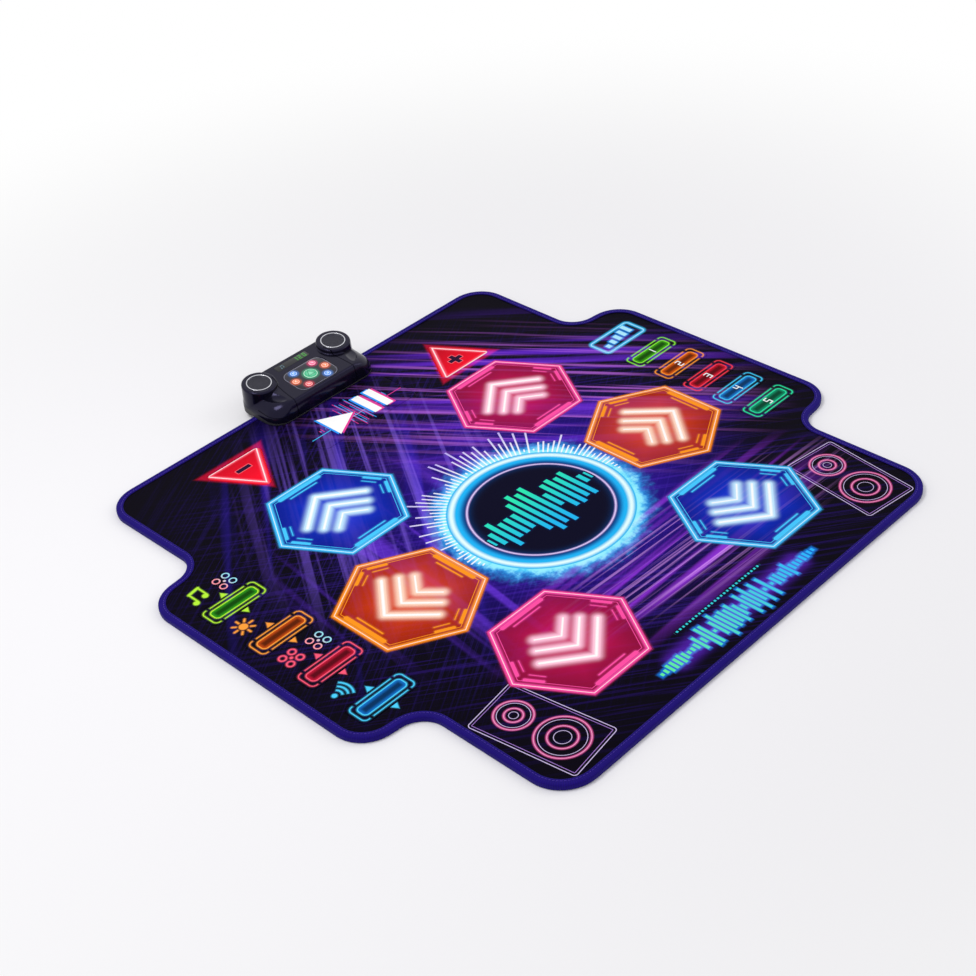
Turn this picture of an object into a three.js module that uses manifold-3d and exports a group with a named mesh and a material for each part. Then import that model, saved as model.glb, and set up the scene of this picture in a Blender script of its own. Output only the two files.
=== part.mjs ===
// Electronic dance mat: a soft laminated floor mat with six foot pads and twelve touch keys,
// and a console, shaped like a game controller, clamped on the mat's rear edge.
// Millimetres. +X is to the player's right, +Y runs to the console, +Z is up.
// The origin is at the middle of the mat, on the floor.
import * as THREE from 'three';
import Module from 'manifold-3d';
import { mergeVertices } from 'three/addons/utils/BufferGeometryUtils.js';

const wasm = await Module();
wasm.setup();

// Fits between pieces
const clearance = 0.3;
const cutOverrun = 1;

// Mat outline
const matWidth = 772;
const matDepth = 900;
const rearCornerRadius = 50;
const frontCornerRadius = 55;
const tabReach = 94;
const tabLength = 427;
const tabCentreY = 8.5;
const tabSlope = 9;
const tabCornerRadius = 50;
const tabFilletRadius = 38;
const outlineArcSteps = 4;
const smallCornerSteps = 2;

// Mat layers, from the floor up
const backingThickness = 1.2;
const foamThickness = 4;
const filmThickness = 0.3;
const spacerThickness = 1.6;
const topSheetThickness = 1;
const bindingWidth = 10.5;
const bindingThickness = 0.8;
const bindingEdgeRadius = 1.1;

const backingTop = backingThickness;
const foamTop = backingTop + foamThickness;
const lowerFilmTop = foamTop + filmThickness;
const spacerTop = lowerFilmTop + spacerThickness;
const upperFilmTop = spacerTop + filmThickness;
const sheetTop = upperFilmTop + topSheetThickness;
const bindingTop = sheetTop + bindingThickness;
const coreInset = bindingThickness + clearance;

// Touch keys on the tabs, in two columns
const keyWidth = 96;
const keyDepth = 41;
const keyCornerRadius = 9;
const keyMargin = 30;
const modePitchShare = 0.2248;
const modeDropShare = 0.055;
const levelPitchShare = 0.133;
const levelDropShare = 0.0913;
const modePitch = modePitchShare * tabLength;
const modeDrop = modeDropShare * tabLength;
const levelPitch = levelPitchShare * tabLength;
const levelDrop = levelDropShare * tabLength;
const keyColumnX = matWidth / 2 + tabReach - keyMargin - keyWidth / 2;

// Function keys in a row before the console
const startKeyWidth = 190;
const startKeyDepth = 84;
const volumeKeyRadius = 63;
const volumeKeyCornerRadius = 8;
const volumePlaceShare = 0.518;
const functionRowSetback = 55.5;
const consoleLap = 58;
const consoleFrontY = matDepth / 2 - consoleLap;
const functionRowY = consoleFrontY - functionRowSetback;

// Foot pads: hexagons in a ring of six that fills the field between the front margin and the
// function keys, in three rows; the radius is measured from middle to corner
const hexCorners = 6;
const padCornerRadius = 6;
const padRowGap = 18.5;
const padFrontMargin = 87.5;
const padSideMargin = 97;
const padKeyGap = 12;
const functionRowGap = 72;
const padFieldFront = padFrontMargin - matDepth / 2;
const padFieldRear = functionRowY - functionRowGap;
const padRingY = (padFieldFront + padFieldRear) / 2;
const flatShare = Math.cos(Math.PI / hexCorners);
const padRadius = (padFieldRear - padFieldFront - 2 * padRowGap) / (2 + 4 * flatShare);
const padFlatRadius = padRadius * flatShare;
const endPadY = padRadius + padRowGap + padFlatRadius;
const endPadX = matWidth / 2 - padSideMargin - padRadius;
const sidePadX = keyColumnX - keyWidth / 2 - padKeyGap - padFlatRadius;
const spongeHoleShare = 0.157;
const spongePitchShare = 0.574;
const spongeHoleSides = 6;

// Console body
const consoleWidth = 208;
const consoleOverhang = 38;
const consoleWall = 2.2;
const consoleCornerRadius = 27;
const consoleCornerSteps = 5;
const seamFrontHeight = 11.5;
const deckFrontHeight = 37.5;
const deckRearHeight = 48.8;
const gripReach = 35;
const frontRoll = 7.5;
const rearRoll = 4;
const deckCornerRadius = 13;
const shellLevels = 6;
const consoleRearY = matDepth / 2 + consoleOverhang;
const consoleDepth = consoleRearY - consoleFrontY;
const consoleMiddleY = (consoleRearY + consoleFrontY) / 2;
const deckSlope = Math.atan2(deckRearHeight - deckFrontHeight, consoleDepth);
const seamDepth = (deckFrontHeight - seamFrontHeight) * Math.cos(deckSlope);

// Speaker turrets: upright drums whose tops are parallel to the deck
const turretRadius = 28.5;
const turretTopRadius = 27.3;
const turretRise = 7;
const turretRound = 2.4;
const turretX = consoleWidth / 2 - turretRadius;
const turretY = consoleRearY - turretRadius;
const turretRun = turretY - consoleFrontY + turretRise * Math.sin(deckSlope);
const turretAlong = turretRun / Math.cos(deckSlope);
const turretSides = 20;
const grilleRadius = 18;
const grilleSink = 1.6;
const grilleThickness = 0.8;
const rimWidth = 1.6;
const rimProud = 0.5;
const grilleLedge = 2;
const grilleLedgeThickness = 2;
const grilleHoleRadius = 1.8;
const grilleHolePitch = 6.4;
const grilleHoleRings = 2;
const grilleHoleSides = 6;
const speakerDepth = 15;
const speakerRimThickness = 2;
const speakerMagnetRadius = 10;
const speakerConeDepth = 5;
const speakerSides = 12;

// Grips: the scoop on each, the groove that parts it from the deck, and the one along its side
const scoopLength = 74;
const scoopWidth = 28;
const scoopHeight = 16;
const scoopFromSide = 25;
const scoopFromFront = 32;
const scoopRise = 4.4;
const scoopTurn = 0.55;
const scoopRoll = 0.3;
const scoopSides = 16;
const scoopRows = 10;
const grooveWidth = 1.2;
const grooveDepth = 1;
const grooveFromSide = 44;
const grooveBend = 8;
const grooveSteps = 6;
const sideGrooveRise = 8;
const sideGrooveStart = 40;
const sideGrooveReach = 42;

// Light panel and display on the deck; their places run along the deck's slope
const panelWidth = 80;
const panelDepth = 56;
const panelCornerRadius = 15;
const panelThickness = 2;
const panelLedge = 2.5;
const panelFromFront = 36.5;
const sideLightX = 29.5;
const endLightX = 19;
const endLightY = 18;
const smallLightRadius = 5.6;
const centreLightRadius = 11;
const lightDome = 1;
const lightFlange = 1.2;
const lightFlangeThickness = 1.2;
const lensSides = 12;
const windowWidth = 64;
const windowDepth = 13;
const windowCornerRadius = 2;
const windowThickness = 1.6;
const windowLedge = 1.5;
const windowFromRear = 16;
const deckThickness = 4;

// Circuit board and digit display, hung under the deck
const boardThickness = 1.6;
const boardWidth = 76;
const boardGap = 8;
const boardEdgeGap = 6;
const boardPostRadius = 2.5;
const boardPostSides = 6;
const boardTop = -deckThickness - boardGap;
const digitWidth = windowWidth - 2 * (windowLedge + clearance);
const digitDepth = windowDepth - 2 * (windowLedge + clearance);

// Battery bay, cells and door in the overhang
const cellRadius = 7.1;
const cellLength = 49.2;
const cellNubRadius = 2.7;
const cellNubLength = 1.3;
const cellSides = 12;
const cellEdge = 0.6;
const cellsInRow = 2;
const cellRows = 2;
const contactSpace = 5;
const contactThickness = 0.6;
const contactHeight = 12;
const springRadius = 3.5;
const bayWall = 2;
const trayEdge = 1;
const footGap = 1.4;
const lowerFloor = 2.4;
const doorThickness = 1.7;
const doorLift = 0.4;
const doorTongue = 1.5;
const doorTongueThickness = 0.7;
const doorRibCount = 5;
const doorRibPitch = 3;
const doorRibSize = 0.9;

// Power switch in the rear wall
const switchFromSide = 38;
const switchHeight = 27;
const switchTravel = 4;
const switchCapWidth = 7;
const switchCapHeight = 4;
const switchCapReach = 1.6;
const switchX = consoleWidth / 2 - switchFromSide;
const switchFlange = 1.5;

// Clamp under the mat, and the tail of the lower film
const clampWidth = 122;
const clampDepth = 26;
const clampThickness = 2.4;
const clampFromRear = 30;
const clampLift = 0.5;
const clampCornerRadius = 5;
const screwX = 46;
const screwRadius = 2;
const screwHeadRadius = 4;
const screwHeadHeight = 1.5;
const screwLength = 27;
const screwSides = 12;
const bossRadius = 5;
const tailWidth = 30;
const tailFromRear = 42;
const tailRoom = 1.5;

const deckOrigin = new THREE.Vector3(0, consoleFrontY, deckFrontHeight);
const deckMatrix = new THREE.Matrix4().makeRotationX(deckSlope).setPosition(deckOrigin);

// Colours and finishes
const inkBlack = finish(0x07060d, 0.45, 0);
const padBlue = finish(0x1237a8, 0.45, 0);
const padPink = finish(0xb01d72, 0.45, 0);
const padOrange = finish(0xc9451d, 0.45, 0);
const keyGreen = finish(0x5fae2e, 0.45, 0);
const keyOrange = finish(0xe0641c, 0.45, 0);
const keyRed = finish(0xd42b45, 0.45, 0);
const keyBlue = finish(0x1e8fd0, 0.45, 0);
const keyTeal = finish(0x1aa58c, 0.45, 0);
const keyWhite = finish(0xe9e6f2, 0.45, 0);
const bindingViolet = finish(0x2a0a78, 0.8, 0);
const backingGrey = finish(0x1b1b1e, 0.95, 0);
const foamWhite = finish(0xd9d9d4, 0.95, 0);
const filmClear = finish(0xb9bec4, 0.35, 0);
const glossBlack = finish(0x0b0b12, 0.18, 0);
const mattBlack = finish(0x141416, 0.6, 0);
const smokedPlastic = finish(0x14102a, 0.12, 0);
const boardGreen = finish(0x14552f, 0.5, 0);
const grilleSilver = finish(0xb8b8c0, 0.3, 1);
const steel = finish(0x9a9ca0, 0.35, 1);
const cellCover = finish(0x2c3440, 0.4, 0.3);
const magnetGrey = finish(0x4a4a4d, 0.5, 0.6);
const lightGreen = finish(0x23b98a, 0.2, 0);
const lightBlue = finish(0x3f86e0, 0.2, 0);
const lightPink = finish(0xe83a8c, 0.2, 0);
const lightOrange = finish(0xf26a1c, 0.2, 0);
const lightRed = finish(0xdf2540, 0.2, 0);
const digitGrey = finish(0x25282a, 0.5, 0);

function finish(color, roughness, metalness) {
  return new THREE.MeshStandardMaterial({ color, roughness, metalness });
}

// Solids: a closed geometry becomes a solid, is joined or cut, and comes back as a geometry
function solidOf(geometry) {
  const bare = geometry.clone();
  bare.deleteAttribute('normal');
  bare.deleteAttribute('uv');
  const merged = mergeVertices(bare);
  const mesh = new wasm.Mesh({
    numProp: 3,
    vertProperties: new Float32Array(merged.attributes.position.array),
    triVerts: new Uint32Array(merged.index.array),
  });
  return new wasm.Manifold(mesh);
}

function geometryOf(solid) {
  const mesh = solid.getMesh();
  const geometry = new THREE.BufferGeometry();
  geometry.setAttribute('position', new THREE.BufferAttribute(mesh.vertProperties, 3));
  geometry.setIndex(new THREE.BufferAttribute(mesh.triVerts, 1));
  return geometry;
}

function join(first, ...others) {
  return others.reduce((whole, other) => whole.add(solidOf(other)), solidOf(first));
}

function cut(solid, ...cutters) {
  return cutters.reduce((whole, cutter) => whole.subtract(solidOf(cutter)), solid);
}

// Outlines: the corners of a counter-clockwise outline, each with its own rounding radius, can
// be drawn in by an inset, and are then drawn as a line of points
function drawnIn(corners, inset) {
  return corners.map((corner, i) => {
    const { arriving, leaving } = edgesAt(corners, i);
    const inwards = new THREE.Vector2(-arriving.y, arriving.x);
    const inwardsAfter = new THREE.Vector2(-leaving.y, leaving.x);
    const shift = inwards.clone().add(inwardsAfter);
    shift.multiplyScalar(inset / (1 + inwards.dot(inwardsAfter)));
    const side = Math.sign(arriving.cross(leaving));
    return { at: corner.at.clone().add(shift), radius: corner.radius - side * inset };
  });
}

function edgesAt(corners, i) {
  const before = corners[(i + corners.length - 1) % corners.length].at;
  const after = corners[(i + 1) % corners.length].at;
  const here = corners[i].at;
  return { arriving: here.clone().sub(before).normalize(), leaving: after.clone().sub(here).normalize() };
}

function roundedOutline(corners, steps) {
  return corners.flatMap((corner, i) => {
    const { arriving, leaving } = edgesAt(corners, i);
    const turn = Math.atan2(arriving.cross(leaving), arriving.dot(leaving));
    const side = Math.sign(turn);
    const inwards = new THREE.Vector2(-arriving.y, arriving.x);
    const run = corner.radius * Math.tan(Math.abs(turn) / 2);
    const centre = corner.at.clone().addScaledVector(arriving, -run);
    centre.addScaledVector(inwards, side * corner.radius);
    const start = Math.atan2(-side * inwards.y, -side * inwards.x);
    const arc = [];
    for (let step = 0; step <= steps; step += 1) {
      const angle = start + (turn * step) / steps;
      const spoke = new THREE.Vector2(Math.cos(angle), Math.sin(angle));
      arc.push(spoke.multiplyScalar(corner.radius).add(centre));
    }
    return arc;
  });
}

function cornersOf(places, radius) {
  return places.map(([x, y]) => ({ at: new THREE.Vector2(x, y), radius }));
}

function rectangle(x, y, width, depth, radius) {
  const [left, right] = [x - width / 2, x + width / 2];
  const [front, rear] = [y - depth / 2, y + depth / 2];
  return cornersOf([[left, front], [right, front], [right, rear], [left, rear]], radius);
}

function polygon(x, y, reach, sides, turn, radius) {
  const places = [];
  for (let side = 0; side < sides; side += 1) {
    const angle = turn + (2 * Math.PI * side) / sides;
    places.push([x + reach * Math.cos(angle), y + reach * Math.sin(angle)]);
  }
  return cornersOf(places, radius);
}

// A flat plate between two heights, with holes through it
function plate(outline, bottom, top, holes = []) {
  const shape = new THREE.Shape(outline);
  shape.holes = holes.map((hole) => new THREE.Path(hole));
  const geometry = new THREE.ExtrudeGeometry(shape, { depth: top - bottom, bevelEnabled: false });
  return geometry.translate(0, 0, bottom);
}

function sharp(corners) {
  return corners.map((corner) => corner.at);
}

function block(x, y, width, depth, bottom, top) {
  return plate(sharp(rectangle(x, y, width, depth, 0)), bottom, top);
}

function disc(x, y, radius, sides) {
  return sharp(polygon(x, y, radius, sides, 0, 0));
}

function rod(x, y, radius, sides, bottom, top) {
  return plate(disc(x, y, radius, sides), bottom, top);
}

// A turned piece: its profile runs from axis to axis, in pairs of radius and height
function turned(profile, sides) {
  const points = profile.map(([radius, height]) => new THREE.Vector2(radius, height));
  return new THREE.LatheGeometry(points, sides).rotateX(Math.PI / 2);
}

// A skin through rings of equal count: closed back on itself, or capped at both ends
function skin(rings, closed) {
  const count = rings[0].length;
  const positions = rings.flat().flatMap((point) => point.toArray());
  const triangles = [];
  const spans = closed ? rings.length : rings.length - 1;
  for (let ring = 0; ring < spans; ring += 1) {
    const here = ring * count;
    const above = ((ring + 1) % rings.length) * count;
    for (let i = 0; i < count; i += 1) {
      const next = (i + 1) % count;
      triangles.push(here + i, here + next, above + next);
      triangles.push(here + i, above + next, above + i);
    }
  }
  if (!closed) {
    const last = (rings.length - 1) * count;
    for (let i = 1; i < count - 1; i += 1) {
      triangles.push(0, i + 1, i);
      triangles.push(last, last + i, last + i + 1);
    }
  }
  const geometry = new THREE.BufferGeometry();
  geometry.setAttribute('position', new THREE.Float32BufferAttribute(positions, 3));
  geometry.setIndex(triangles);
  return geometry;
}

function onDeck(geometry) {
  return geometry.applyMatrix4(deckMatrix);
}

const group = new THREE.Group();
group.name = 'electronic_dance_mat';
const deckGroup = new THREE.Group();
deckGroup.position.copy(deckOrigin);
deckGroup.rotation.x = deckSlope;
group.add(deckGroup);

function add(name, geometry, material, parent = group) {
  const mesh = new THREE.Mesh(geometry, material);
  mesh.name = name;
  parent.add(mesh);
  return mesh;
}

// Mat outline: a rounded body with a side tab each way for the key columns
function matCorners() {
  const side = matWidth / 2;
  const end = matDepth / 2;
  const tabSide = side + tabReach;
  const tabRear = tabCentreY + tabLength / 2;
  const tabFront = tabCentreY - tabLength / 2;
  const right = [
    [side, -end, frontCornerRadius],
    [side, tabFront - tabSlope, tabFilletRadius],
    [tabSide, tabFront, tabCornerRadius],
    [tabSide, tabRear, tabCornerRadius],
    [side, tabRear + tabSlope, tabFilletRadius],
    [side, end, rearCornerRadius],
  ];
  const left = right.map(([x, y, radius]) => [-x, y, radius]).reverse();
  return [...right, ...left].map(([x, y, radius]) => ({ at: new THREE.Vector2(x, y), radius }));
}

const matOutline = matCorners();

function matPoints(inset) {
  return roundedOutline(drawnIn(matOutline, inset), outlineArcSteps);
}

// Places of the pads and keys
const flatTop = 0;
const pointTop = Math.PI / hexCorners;
const pads = [
  { name: 'pad_rear_left', x: -endPadX, y: padRingY + endPadY, turn: flatTop, material: padBlue },
  { name: 'pad_rear_right', x: endPadX, y: padRingY + endPadY, turn: flatTop, material: padPink },
  { name: 'pad_left', x: -sidePadX, y: padRingY, turn: pointTop, material: padOrange },
  { name: 'pad_right', x: sidePadX, y: padRingY, turn: pointTop, material: padOrange },
  { name: 'pad_front_left', x: -endPadX, y: padRingY - endPadY, turn: flatTop, material: padPink },
  { name: 'pad_front_right', x: endPadX, y: padRingY - endPadY, turn: flatTop, material: padBlue },
];

function keyColumn(prefix, x, drop, pitch, materials) {
  return materials.map((material, i) => {
    const y = tabCentreY - drop + ((materials.length - 1) / 2 - i) * pitch;
    const corners = rectangle(x, y, keyWidth, keyDepth, keyCornerRadius);
    return { name: `${prefix}_${i + 1}`, x, y, corners, material };
  });
}

const triangleSides = 3;
const pointsFront = -Math.PI / 2;
const pointsRear = Math.PI / 2;
const volumeShift = volumeKeyRadius / 4;

function volumeKey(name, x, turn) {
  const y = functionRowY - Math.sin(turn) * volumeShift;
  const corners = polygon(x, y, volumeKeyRadius, triangleSides, turn, volumeKeyCornerRadius);
  return { name, x, y, corners, material: keyRed };
}

const modeMaterials = [keyGreen, keyOrange, keyRed, keyBlue];
const levelMaterials = [keyGreen, keyOrange, keyRed, keyBlue, keyTeal];
const startCorners = rectangle(0, functionRowY, startKeyWidth, startKeyDepth, keyCornerRadius);
const keys = [
  volumeKey('key_minus', (-volumePlaceShare * matWidth) / 2, pointsFront),
  volumeKey('key_plus', (volumePlaceShare * matWidth) / 2, pointsRear),
  { name: 'key_start', x: 0, y: functionRowY, corners: startCorners, material: keyWhite },
  ...keyColumn('key_mode', -keyColumnX, modeDrop, modePitch, modeMaterials),
  ...keyColumn('key_level', keyColumnX, levelDrop, levelPitch, levelMaterials),
];

function padCorners(pad) {
  return polygon(pad.x, pad.y, padRadius, hexCorners, pad.turn, padCornerRadius);
}

// Places that run right through the mat under the console
const clampY = matDepth / 2 - clampFromRear;
const tailY = matDepth / 2 - tailFromRear;

function screwHoles(sides) {
  return [-screwX, screwX].map((x) => disc(x, clampY, screwRadius + clearance, sides));
}

function tailSlot() {
  return sharp(rectangle(0, tailY, tailWidth + 2 * clearance, filmThickness + 2 * clearance, 0));
}

// Backing sheet with a pocket for the clamp plate
const clampCorners = rectangle(0, clampY, clampWidth, clampDepth, clampCornerRadius);
const pocketOutline = roundedOutline(drawnIn(clampCorners, -clearance), smallCornerSteps);

function backingSheet() {
  return plate(matPoints(bindingWidth + clearance), 0, backingTop, [pocketOutline]);
}

// Cushion foam; the clamp plate's pocket reaches into it from below
function cushionFoam() {
  const pocketTop = clampLift + clampThickness + clearance;
  const pocketCut = plate(pocketOutline, backingTop - cutOverrun, pocketTop);
  const foam = plate(matPoints(coreInset), backingTop, foamTop, screwHoles(screwSides));
  return geometryOf(cut(solidOf(foam), pocketCut));
}

// Lower contact film, whose tail stands up through the layers to just below the circuit board
function lowerContactFilm() {
  const film = plate(matPoints(coreInset), foamTop, lowerFilmTop, screwHoles(screwSides));
  const boardFoot = (boardTop - boardThickness) / Math.cos(deckSlope);
  const tailTop = slopeHeight(tailY, deckFrontHeight + boardFoot) - tailRoom;
  const tail = block(0, tailY, tailWidth, filmThickness, foamTop + filmThickness / 2, tailTop);
  return geometryOf(join(film, tail));
}

// The layers above are open at every pad and key; the hidden ones are cut with plain corners
function openings(plain) {
  const padHoles = pads.map((pad) => openingRound(padCorners(pad), smallCornerSteps, plain));
  const keyHoles = keys.map((key) => openingRound(key.corners, smallCornerSteps, plain));
  return [...padHoles, ...keyHoles];
}

function openingRound(corners, steps, plain) {
  const roomy = drawnIn(corners, -clearance);
  return plain ? sharp(roomy) : roundedOutline(roomy, steps);
}

function openSheet(bottom, top, plain) {
  const holes = [...openings(plain), ...screwHoles(screwSides), tailSlot()];
  return plate(matPoints(coreInset), bottom, top, holes);
}

// Spacer sponge under a pad, perforated in the middle and towards each corner
function padSponge(pad) {
  const corners = polygon(pad.x, pad.y, padRadius - clearance, hexCorners, pad.turn, 0);
  const places = hexPlaces(1, padRadius * spongePitchShare, pad.turn);
  const holes = places.map((place) =>
    disc(pad.x + place.x, pad.y + place.y, padRadius * spongeHoleShare, spongeHoleSides));
  return plate(sharp(corners), lowerFilmTop, spacerTop, holes);
}

// Places of a hexagonal pattern: the middle, and then ring by ring along the sides
function hexPlaces(ringCount, pitch, turn) {
  const places = [new THREE.Vector2()];
  for (let ring = 1; ring <= ringCount; ring += 1) {
    for (let i = 0; i < ring * hexCorners; i += 1) {
      const from = hexPoint(Math.floor(i / ring), turn);
      const to = hexPoint(Math.floor(i / ring) + 1, turn);
      places.push(from.lerp(to, (i % ring) / ring).multiplyScalar(ring * pitch));
    }
  }
  return places;
}

function hexPoint(corner, turn) {
  const angle = turn + (2 * Math.PI * corner) / hexCorners;
  return new THREE.Vector2(Math.cos(angle), Math.sin(angle));
}

// Edge binding: one folded tape, its profile given as inset from the mat's edge and height
function edgeBinding() {
  const round = bindingEdgeRadius;
  const profile = [
    [round, 0],
    [0, round],
    [0, bindingTop - round],
    [round, bindingTop],
    [bindingWidth, bindingTop],
    [bindingWidth, sheetTop],
    [bindingThickness, sheetTop],
    [bindingThickness, backingTop],
    [bindingWidth, backingTop],
    [bindingWidth, 0],
  ];
  const rings = profile.map(([inset, height]) =>
    matPoints(inset).map((point) => new THREE.Vector3(point.x, point.y, height)));
  return skin(rings, true);
}

add('backing_sheet', backingSheet(), backingGrey);
add('cushion_foam', cushionFoam(), foamWhite);
add('lower_contact_film', lowerContactFilm(), filmClear);
add('spacer_sheet', openSheet(lowerFilmTop, spacerTop, true), foamWhite);
add('upper_contact_film', openSheet(spacerTop, upperFilmTop, true), filmClear);
add('top_sheet', openSheet(upperFilmTop, sheetTop, false), inkBlack);
add('edge_binding', edgeBinding(), bindingViolet);
pads.forEach((pad) => {
  const outline = roundedOutline(padCorners(pad), smallCornerSteps);
  add(pad.name, plate(outline, spacerTop, sheetTop), pad.material);
  add(pad.name.replace('pad', 'sponge'), padSponge(pad), foamWhite);
});
keys.forEach((key) => {
  add(key.name, plate(roundedOutline(key.corners, smallCornerSteps), spacerTop, sheetTop), key.material);
});

// Console shell: rounded rings that rise from the seam and draw in to the deck, which slopes as
// the seam does. The sides draw in far, which gives the grips their long shoulders; the front
// rolls over.
function slopeHeight(y, front) {
  return front + (y - consoleFrontY) * Math.tan(deckSlope);
}

function shellRing(inset, level, drop) {
  const rise = Math.sin((level * Math.PI) / 2);
  const draw = 1 - Math.cos((level * Math.PI) / 2);
  const front = consoleFrontY + inset + frontRoll * draw;
  const rear = consoleRearY - inset - rearRoll * draw;
  const width = consoleWidth - 2 * (inset + gripReach * draw);
  const radius = consoleCornerRadius - inset - (consoleCornerRadius - deckCornerRadius) * draw;
  const corners = rectangle(0, (front + rear) / 2, width, rear - front, radius);
  return roundedOutline(corners, consoleCornerSteps).map((point) => {
    const seam = slopeHeight(point.y, seamFrontHeight);
    const top = slopeHeight(point.y, deckFrontHeight) - drop;
    return new THREE.Vector3(point.x, point.y, seam + (top - seam) * rise);
  });
}

function shellForm(inset, drop, below) {
  const rings = [];
  for (let i = 0; i < shellLevels; i += 1) {
    rings.push(shellRing(inset, i / (shellLevels - 1), drop));
  }
  const foot = rings[0].map((point) => new THREE.Vector3(point.x, point.y, point.z - below));
  return skin(below > 0 ? [foot, ...rings] : rings, false);
}

// A drum upright in a turret, through rings that lie parallel to the deck, above it or below
function drum(side, profile) {
  const rings = profile.map(([radius, rise]) => {
    const front = deckFrontHeight + rise / Math.cos(deckSlope);
    const points = disc(side * turretX, turretY, radius, turretSides);
    return points.map((point) => new THREE.Vector3(point.x, point.y, slopeHeight(point.y, front)));
  });
  return skin(rings, false);
}

function turretForm(side) {
  const halfRound = turretRound * (1 - Math.SQRT1_2);
  return drum(side, [
    [turretRadius, -seamDepth],
    [turretTopRadius, turretRise - turretRound],
    [turretTopRadius - halfRound, turretRise - halfRound],
    [turretTopRadius - turretRound, turretRise],
  ]);
}

// Boat-shaped scoop in the shoulder of a grip, pointed at both ends
function scoopCutter(side) {
  const boat = new THREE.SphereGeometry(1, scoopSides, scoopRows);
  const places = boat.getAttribute('position');
  for (let i = 0; i < places.count; i += 1) {
    const pinch = Math.sqrt(Math.max(0, 1 - places.getY(i) ** 2));
    places.setX(i, places.getX(i) * pinch);
  }
  boat.scale(scoopWidth / 2, scoopLength / 2, scoopHeight / 2);
  boat.rotateY(side * scoopRoll);
  boat.rotateZ(-side * scoopTurn);
  const y = consoleFrontY + scoopFromFront;
  return boat.translate(side * (consoleWidth / 2 - scoopFromSide), y, slopeHeight(y, deckFrontHeight) + scoopRise);
}

// Grooves are as deep all along: each is a strip less the outer form shrunken by the depth
function grooveOf(strip) {
  return solidOf(strip).subtract(solidOf(shellForm(grooveDepth, grooveDepth, consoleWall)));
}

// Groove between deck and grip, from the turret down the front roll, bending in to the rear
function deckGroove(side) {
  const length = turretY - consoleFrontY;
  const run = [];
  for (let i = 0; i <= grooveSteps; i += 1) {
    const share = i / grooveSteps;
    const x = side * (consoleWidth / 2 - grooveFromSide - grooveBend * share ** 2);
    run.push(new THREE.Vector2(x, consoleFrontY - cutOverrun + (length + cutOverrun) * share));
  }
  const shift = new THREE.Vector2(grooveWidth / 2, 0);
  const right = run.map((point) => point.clone().add(shift));
  const left = run.map((point) => point.clone().sub(shift)).reverse();
  return grooveOf(plate([...right, ...left], seamFrontHeight + grooveDepth, deckRearHeight + turretRise));
}

// Groove along a grip's side, parallel to the seam
function sideGroove(side) {
  const foot = sideGrooveRise - seamDepth;
  const width = consoleWidth / 2 + cutOverrun - sideGrooveStart;
  const x = side * (sideGrooveStart + width / 2);
  const length = sideGrooveReach + cutOverrun;
  return grooveOf(onDeck(block(x, length / 2 - cutOverrun, width, length, foot, foot + grooveWidth)));
}

const panelY = panelFromFront / Math.cos(deckSlope);
const windowY = (consoleDepth - windowFromRear) / Math.cos(deckSlope);
const panelOutline = rectangle(0, panelY, panelWidth, panelDepth, panelCornerRadius);
const windowOutline = rectangle(0, windowY, windowWidth, windowDepth, windowCornerRadius);

// A recess in the deck with a ledge round a through opening
function ledgeCutters(outline, thickness, ledge) {
  const seatOutline = roundedOutline(drawnIn(outline, -clearance), smallCornerSteps);
  const holeOutline = roundedOutline(drawnIn(outline, ledge), smallCornerSteps);
  const seat = plate(seatOutline, -thickness - clearance, cutOverrun);
  const hole = plate(holeOutline, -deckThickness - cutOverrun, 0);
  return [onDeck(seat), onDeck(hole)];
}

// Opening in a turret's top: the rim's seat, the grille's ledge and the way to the speaker
const rimRadius = grilleRadius + rimWidth;
const grilleTop = turretRise - grilleSink;
const grilleFoot = grilleTop - grilleThickness;
const ledgeTop = grilleFoot - clearance;
const ledgeFoot = ledgeTop - grilleLedgeThickness;

function turretOpening() {
  const seat = rimRadius + clearance;
  const mouth = grilleRadius - grilleLedge;
  const profile = [
    [0, ledgeFoot - cutOverrun],
    [mouth, ledgeFoot - cutOverrun],
    [mouth, ledgeTop],
    [seat, ledgeTop],
    [seat, turretRise + cutOverrun],
    [0, turretRise + cutOverrun],
  ];
  return turned(profile, turretSides);
}

function atTurret(geometry, side) {
  return geometry.clone().translate(side * turretX, turretAlong, 0);
}

function turretHollow(side) {
  const radius = turretTopRadius - turretRound;
  return drum(side, [[radius, -seamDepth - cutOverrun], [radius, ledgeFoot]]);
}

// Things that hang from the deck: screw bosses and posts for the circuit board
const boardFront = boardEdgeGap + frontRoll;
const boardRear = (consoleDepth - boardEdgeGap - bayWall) / Math.cos(deckSlope);
const boardDepth = boardRear - boardFront;
const floorTop = sheetTop + clearance + lowerFloor;

function screwBoss(x) {
  const outline = disc(x, clampY, bossRadius, screwSides);
  const hole = disc(x, clampY, screwRadius + clearance, screwSides);
  return plate(outline, floorTop + clearance, slopeHeight(clampY, deckFrontHeight) - deckThickness / 2, [hole]);
}

function boardPosts() {
  const x = boardWidth / 2 - boardPostRadius;
  const places = [
    [-x, boardFront + boardPostRadius],
    [x, boardFront + boardPostRadius],
    [-x, boardRear - boardPostRadius],
    [x, boardRear - boardPostRadius],
  ];
  return places.map(([postX, postY]) =>
    onDeck(rod(postX, postY, boardPostRadius, boardPostSides, boardTop + clearance, -deckThickness / 2)));
}

function switchSlot() {
  const width = switchCapWidth + switchTravel + 2 * clearance;
  const height = switchCapHeight + 2 * clearance;
  return block(switchX, consoleRearY, width, 2 * (consoleWall + rearRoll), switchHeight - height / 2,
    switchHeight + height / 2);
}

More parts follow.
